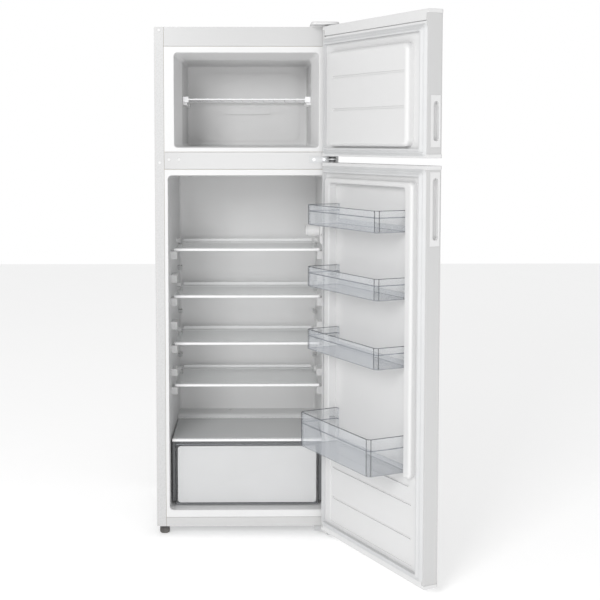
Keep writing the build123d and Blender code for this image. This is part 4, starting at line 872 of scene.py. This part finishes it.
@dataclass
class Bin:
    """A clear bin on the fridge door.

    Attributes:
        nodes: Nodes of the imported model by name.
        wardrobe: The finishes.
        node: The bin's node.
        body: The bin's body.
        corner: Cut across the front corners.
        wall: Thickness of the rim.
        edge: Thickness of the upright edges.
        half_width: Half of the bin's width.
        band_share: Height of the moulded band, as a share of the bin's height.
    """

    nodes: dict
    wardrobe: Wardrobe
    node: str
    body: str
    corner: float = 9.0 * MM
    wall: float = 2.6 * MM
    edge: float = 1.6 * MM
    half_width: float = 187.5 * MM
    band_share: float = 0.68

    def dress(self) -> None:
        """Gives the bin a clear finish with painted shade lines at its floor, band and rim."""
        low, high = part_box(self.node)
        height = high[2] - low[2]
        band = low[2] + height * self.band_share
        # the floor, band and rim heights carry lines of painted shade
        clear = ClearFinish(f"{self.node}_clear", "clear_plastic", (0.66, 0.69, 0.73), 0.10, 0.03, 0.04, 8.0,
                            900.0, 60.0, 0.7, 0.00003, facing=0.06, grazing=0.45,
                            lines=(low[2] + 1.2 * MM, band, high[2]), shade_width=2.2 * MM)
        self.wardrobe.dress(self.nodes, clear, self.node)

    def post(self, x: float, y: float, bottom: float, top: float) -> bpy.types.Object:
        """Builds the dense upright edge where two walls of the bin meet, its dark tone painted shade.

        Args:
            x: Place across the closed door.
            y: Place out from the closed door.
            bottom: Height of the bin's floor.
            top: Height of the bin's rim.

        Returns:
            The new object, in the axes of the closed door.
        """
        half = self.edge / 2
        post = slab(Vector((x - half, y - half, bottom + 1.5 * MM)),
                    Vector((x + half, y + half, top - 0.8 * MM)))
        pick_faces(post, lambda face: face.normal.z > 0.9)
        bpy.ops.mesh.inset(thickness=half * 0.3, depth=half * 0.2)
        leave()
        return post

    def build_rim(self) -> None:
        """Builds the dense rim along the top of the front and side walls, its dark tone painted shade."""
        low, high = closed_box(self.nodes[self.node])
        half = self.half_width
        middle = (low.x + high.x) / 2
        out = 0.25 * MM
        deselect()
        bpy.ops.mesh.primitive_plane_add(size=1.0,
                                         location=(middle, (low.y + high.y) / 2 + out, high.z - 1.0 * MM))
        rim = bpy.context.object
        rim.scale = (2 * (half + out), high.y - low.y, 1.0)
        settle(rim)
        bpy.ops.object.mode_set(mode="EDIT")
        bpy.ops.mesh.select_mode(type="VERT")
        bpy.ops.mesh.select_all(action="DESELECT")
        mesh = bmesh.from_edit_mesh(rim.data)
        for vertex in mesh.verts:
            vertex.select_set(vertex.co.y > high.y - 1 * MM)
        bmesh.update_edit_mesh(rim.data)
        bpy.ops.mesh.bevel(offset=self.corner, segments=1, affect="VERTICES")
        leave()
        pick_faces(rim, lambda face: True)
        bpy.ops.mesh.inset(thickness=self.wall, depth=0.0)
        leave()
        back = low.y + self.wall

        def spare(face: bmesh.types.BMFace) -> bool:
            """Says whether a face is the middle or the rear strip."""
            centre = face.calc_center_median()
            return face.calc_area() > 0.005 or centre.y < back

        pick_faces(rim, spare)
        bpy.ops.mesh.delete(type="FACE")
        leave()
        pick_faces(rim, lambda face: True)
        bpy.ops.mesh.extrude_region_move(TRANSFORM_OT_translate={"value": (0.0, 0.0, 1.4 * MM)})
        bpy.ops.mesh.select_all(action="SELECT")
        bpy.ops.mesh.normals_make_consistent(inside=False)
        leave()
        posts = [self.post(middle + side * (half - back_off), high.y - front_off, low.z, high.z)
                 for side in (-1, 1) for back_off, front_off in ((0.0, self.corner), (self.corner, 0.0))]
        rim = join([rim, *posts])
        soften(rim, 0.3 * MM, 2)
        rim.matrix_world = swing()
        settle(rim)
        finish_piece(rim, f"{self.node}_rim", self.body, self.wardrobe.get(SHADED_RIM))


@dataclass
class Shelving:
    """Glass shelves, their trims, the freezer's wire shelf and the crisper's cover."""

    nodes: dict
    wardrobe: Wardrobe

    def dress(self) -> None:
        """Gives shelves, cover and wire shelf their finishes."""
        dress = self.wardrobe.dress
        for number in range(1, 5):
            dress(self.nodes, SHELF_GLASS, f"shelf_{number}_glass")
            dress(self.nodes, SHELF_TRIM, f"shelf_{number}_trim")
        dress(self.nodes, COVER_GLASS, "crisper_cover_glass")
        dress(self.nodes, SHELF_TRIM, "crisper_cover_trim")
        dress(self.nodes, GUIDE_MOULDING, "crisper_guides")
        dress(self.nodes, COATED_WIRE, "freezer_shelf")


@dataclass
class Crisper:
    """The crisper drawer, with a frosted panel on its front.

    Attributes:
        nodes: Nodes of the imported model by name.
        wardrobe: The finishes.
        margin: Clear border at the panel's sides.
        foot: Clear border under the panel.
        head: Clear border over the panel.
    """

    nodes: dict
    wardrobe: Wardrobe
    margin: float = 7.0 * MM
    foot: float = 7.0 * MM
    head: float = 14.0 * MM

    def dress(self) -> None:
        """Gives the drawer a clear finish with painted shade lines at its rim and its foot."""
        low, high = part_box("crisper_drawer")
        # the foot and rim heights carry lines of painted shade
        clear = ClearFinish("crisper_clear", "clear_plastic", (0.80, 0.81, 0.83), 0.10, 0.03, 0.04, 6.0,
                            900.0, 60.0,
                            0.7, 0.00003, facing=0.06, grazing=0.30,
                            lines=(low[2] + 2.0 * MM, high[2] - 9.0 * MM, high[2]), shade_width=1.6 * MM)
        self.wardrobe.dress(self.nodes, clear, "crisper_drawer")

    def build_panel(self) -> None:
        """Builds the frosted panel, with a raised border, on the drawer's front."""
        low, high = (Vector(corner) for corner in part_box("crisper_drawer"))
        front = low.y + 3 * MM
        panel = slab(Vector((low.x + self.margin, front - 1.3 * MM, low.z + self.foot)),
                     Vector((high.x - self.margin, front - 0.05 * MM, high.z - self.head)))
        take(panel)
        bpy.ops.object.mode_set(mode="EDIT")
        bpy.ops.mesh.select_mode(type="EDGE")
        bpy.ops.mesh.select_all(action="DESELECT")
        mesh = bmesh.from_edit_mesh(panel.data)
        for edge in mesh.edges:
            along = (edge.verts[0].co - edge.verts[1].co).normalized()
            edge.select_set(abs(along.y) > 0.9)
        bmesh.update_edit_mesh(panel.data)
        bpy.ops.mesh.bevel(offset=9 * MM, segments=6, affect="EDGES")
        leave()
        pick_faces(panel, lambda face: face.normal.y < -0.9)
        bpy.ops.mesh.inset(thickness=3.0 * MM, depth=0.0)
        bpy.ops.mesh.inset(thickness=0.8 * MM, depth=-0.7 * MM)
        leave()
        soften(panel, 0.2 * MM, 2)
        finish_piece(panel, "crisper_front_panel", Body.CRISPER.value, self.wardrobe.get(FROSTED))


@dataclass
class Controls:
    """Thermostat knob, lamp and door switch.

    Attributes:
        nodes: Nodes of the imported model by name.
        wardrobe: The finishes.
        ribs: Number of ribs round the knob.
    """

    nodes: dict
    wardrobe: Wardrobe
    ribs: int = 20

    def dress(self) -> None:
        """Gives knob, housing, lens and switch their finishes."""
        dress = self.wardrobe.dress
        dress(self.nodes, MOULDING, "thermostat_knob", "lamp_housing")
        dress(self.nodes, GREY_MOULDING, "light_switch")
        dress(self.nodes, LENS, "lamp_lens")

    def build_grip(self) -> None:
        """Builds the ribbed sleeve round the knob and its pointer."""
        low, high = (Vector(corner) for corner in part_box("thermostat_knob"))
        centre = (low + high) / 2
        radius = (high.z - low.z) / 2
        start, end = low.x + 7 * MM, high.x - 12 * MM
        sleeve = ribbed_drum(Vector(((start + end) / 2, centre.y, centre.z)), Axis.X, radius - 1.7 * MM,
                             end - start,
                             self.ribs, 0.7 * MM)
        finish_piece(sleeve, "knob_grip", Body.KNOB.value, self.wardrobe.get(MOULDING))
        mark = slab(Vector((low.x - 0.4 * MM, centre.y - 0.9 * MM, centre.z + radius * 0.35)),
                    Vector((low.x + 0.6 * MM, centre.y + 0.9 * MM, centre.z + radius * 0.85)))
        pick_faces(mark, lambda face: face.normal.x < -0.9)
        bpy.ops.mesh.inset(thickness=0.3 * MM, depth=0.15 * MM)
        leave()
        soften(mark, 0.15 * MM, 2)
        finish_piece(mark, "knob_pointer", Body.KNOB.value, self.wardrobe.get(GUIDE_MOULDING))


@dataclass
class Standing:
    """Front feet and rear rollers.

    Attributes:
        nodes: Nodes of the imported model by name.
        wardrobe: The finishes.
        ribs: Number of ribs round a foot.
    """

    nodes: dict
    wardrobe: Wardrobe
    ribs: int = 24

    def dress(self) -> None:
        """Gives feet and rollers their finish."""
        self.wardrobe.dress(self.nodes, BLACK_MOULDING, "front_left_foot", "front_right_foot",
                            "rear_left_roller",
                            "rear_right_roller")

    def build_ribs(self) -> None:
        """Builds the ribbed ring that turns each front foot by hand."""
        for name, body in (("front_left_foot", Body.LEFT_FOOT), ("front_right_foot", Body.RIGHT_FOOT)):
            low, high = (Vector(corner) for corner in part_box(name))
            radius = (high.x - low.x) / 2
            centre = Vector(((low.x + high.x) / 2, (low.y + high.y) / 2, low.z + 9.5 * MM))
            ring = ribbed_drum(centre, Axis.Z, radius + 0.05 * MM, 11 * MM, self.ribs, 0.7 * MM)
            finish_piece(ring, f"{name}_ring", body.value, self.wardrobe.get(BLACK_MOULDING))


@dataclass
class Studio:
    """Floor, white surroundings, soft lights and camera.

    Attributes:
        wardrobe: The finishes; not used.
        lens: Focal length in millimetres.
        place: The camera's place in the shared frame.
        pitch: Downward tilt in degrees.
        yaw: Turn to the right in degrees.
        shift: Sideways and upright shift of the picture.
        ambient: Strength of the white surroundings as a light.
        floor_glow: Light that the floor gives back of itself.
    """

    wardrobe: Wardrobe
    lens: float = 71.907
    place: Colour = (0.2762, -3.5895, 1.1914)
    pitch: float = 4.156
    yaw: float = 0.711
    shift: tuple[float, float] = (0.05, -0.12)
    ambient: float = 0.58
    floor_glow: float = 0.34

    def build_floor(self) -> None:
        """Builds the pale floor."""
        deselect()
        bpy.ops.mesh.primitive_plane_add(size=16.0, location=(0.0, 0.0, -0.0005))
        floor = bpy.context.object
        settle(floor)
        floor.name = "studio_floor"
        material = Finish("studio_floor", "", (0.93, 0.93, 0.93), 0.85, 0.05, 0.01, 1.0, 60.0, 8.0, 0.5,
                          0.0002).make()
        shader = material.node_tree.nodes["Principled BSDF"]
        shader.inputs["Emission Color"].default_value = (1.0, 1.0, 1.0, 1.0)
        shader.inputs["Emission Strength"].default_value = self.floor_glow
        floor.data.materials.append(material)

    def light_area(self, name: str, place: Colour, aim: Colour, size: float, power: float) -> None:
        """Adds one soft area light.

        Args:
            name: The light's name.
            place: Where it stands.
            aim: The point it faces.
            size: Side of the square light, in metres.
            power: Power in watts.
        """
        deselect()
        bpy.ops.object.light_add(type="AREA", location=place)
        lamp = bpy.context.object
        lamp.name = name
        lamp.data.size = size
        lamp.data.energy = power
        lamp.rotation_euler = (Vector(aim) - Vector(place)).to_track_quat("-Z", "Y").to_euler()

    def light(self) -> None:
        """Sets the white surroundings and the soft lights."""
        world = bpy.data.worlds.new("studio")
        bpy.context.scene.world = world
        world.use_nodes = True
        sheet = Sheet(world.node_tree)
        ambient = world.node_tree.nodes["Background"]
        ambient.inputs["Color"].default_value = (1.0, 1.0, 1.0, 1.0)
        ambient.inputs["Strength"].default_value = self.ambient
        seen = sheet.add("ShaderNodeBackground", {"Color": (1.0, 1.0, 1.0, 1.0), "Strength": 1.0})
        ray = sheet.add("ShaderNodeLightPath")
        choice = sheet.add("ShaderNodeMixShader")
        sheet.link(ray.outputs["Is Camera Ray"], choice.inputs[0])
        sheet.link(ambient.outputs["Background"], choice.inputs[1])
        sheet.link(seen.outputs["Background"], choice.inputs[2])
        sheet.link(choice.outputs["Shader"], world.node_tree.nodes["World Output"].inputs["Surface"])
        self.light_area("front_fill", (-1.3, -4.3, 2.5), (0.2, 0.2, 0.8), 1.5, 92.0)
        self.light_area("low_fill", (0.6, -4.6, 0.7), (0.2, 0.2, 0.7), 1.8, 30.0)
        settings = bpy.context.scene.view_settings
        settings.view_transform = "Standard"
        settings.look = "None"

    def place_camera(self) -> None:
        """Sets the camera before the open front, a little above the middle."""
        data = bpy.data.cameras.new("camera")
        data.lens = self.lens
        data.sensor_width = 36.0
        data.shift_x, data.shift_y = self.shift
        data.clip_end = 60.0
        camera = bpy.data.objects.new("camera", data)
        bpy.context.scene.collection.objects.link(camera)
        camera.location = self.place
        camera.rotation_euler = (math.radians(90.0 - self.pitch), 0.0, math.radians(-self.yaw))
        bpy.context.scene.camera = camera


def main() -> None:
    """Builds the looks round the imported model."""
    logging.basicConfig(level=logging.INFO, format="%(message)s")
    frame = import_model()
    nodes = frame["nodes"]
    wardrobe = Wardrobe()

    cabinet = Cabinet(nodes, wardrobe)
    cabinet.dress()
    cabinet.build_screws()
    cabinet.build_washers()

    machine = Machine(nodes, wardrobe)
    machine.dress()
    machine.build_wires()

    for body in (Body.FREEZER_DOOR, Body.FRIDGE_DOOR):
        door = Door(nodes, wardrobe, body)
        door.dress()
        door.build_bead()

    for node, body in (("door_bin_1", "bin_1"), ("door_bin_2", "bin_2"), ("door_bin_3", "bin_3"),
                       ("bottle_bin", "bottle_bin_body")):
        tray = Bin(nodes, wardrobe, node, body)
        tray.dress()
        tray.build_rim()

    Shelving(nodes, wardrobe).dress()

    crisper = Crisper(nodes, wardrobe)
    crisper.dress()
    crisper.build_panel()

    controls = Controls(nodes, wardrobe)
    controls.dress()
    controls.build_grip()

    standing = Standing(nodes, wardrobe)
    standing.dress()
    standing.build_ribs()

    studio = Studio(wardrobe)
    studio.build_floor()
    studio.light()
    studio.place_camera()
    deselect()


if __name__ == "__main__":
    main()
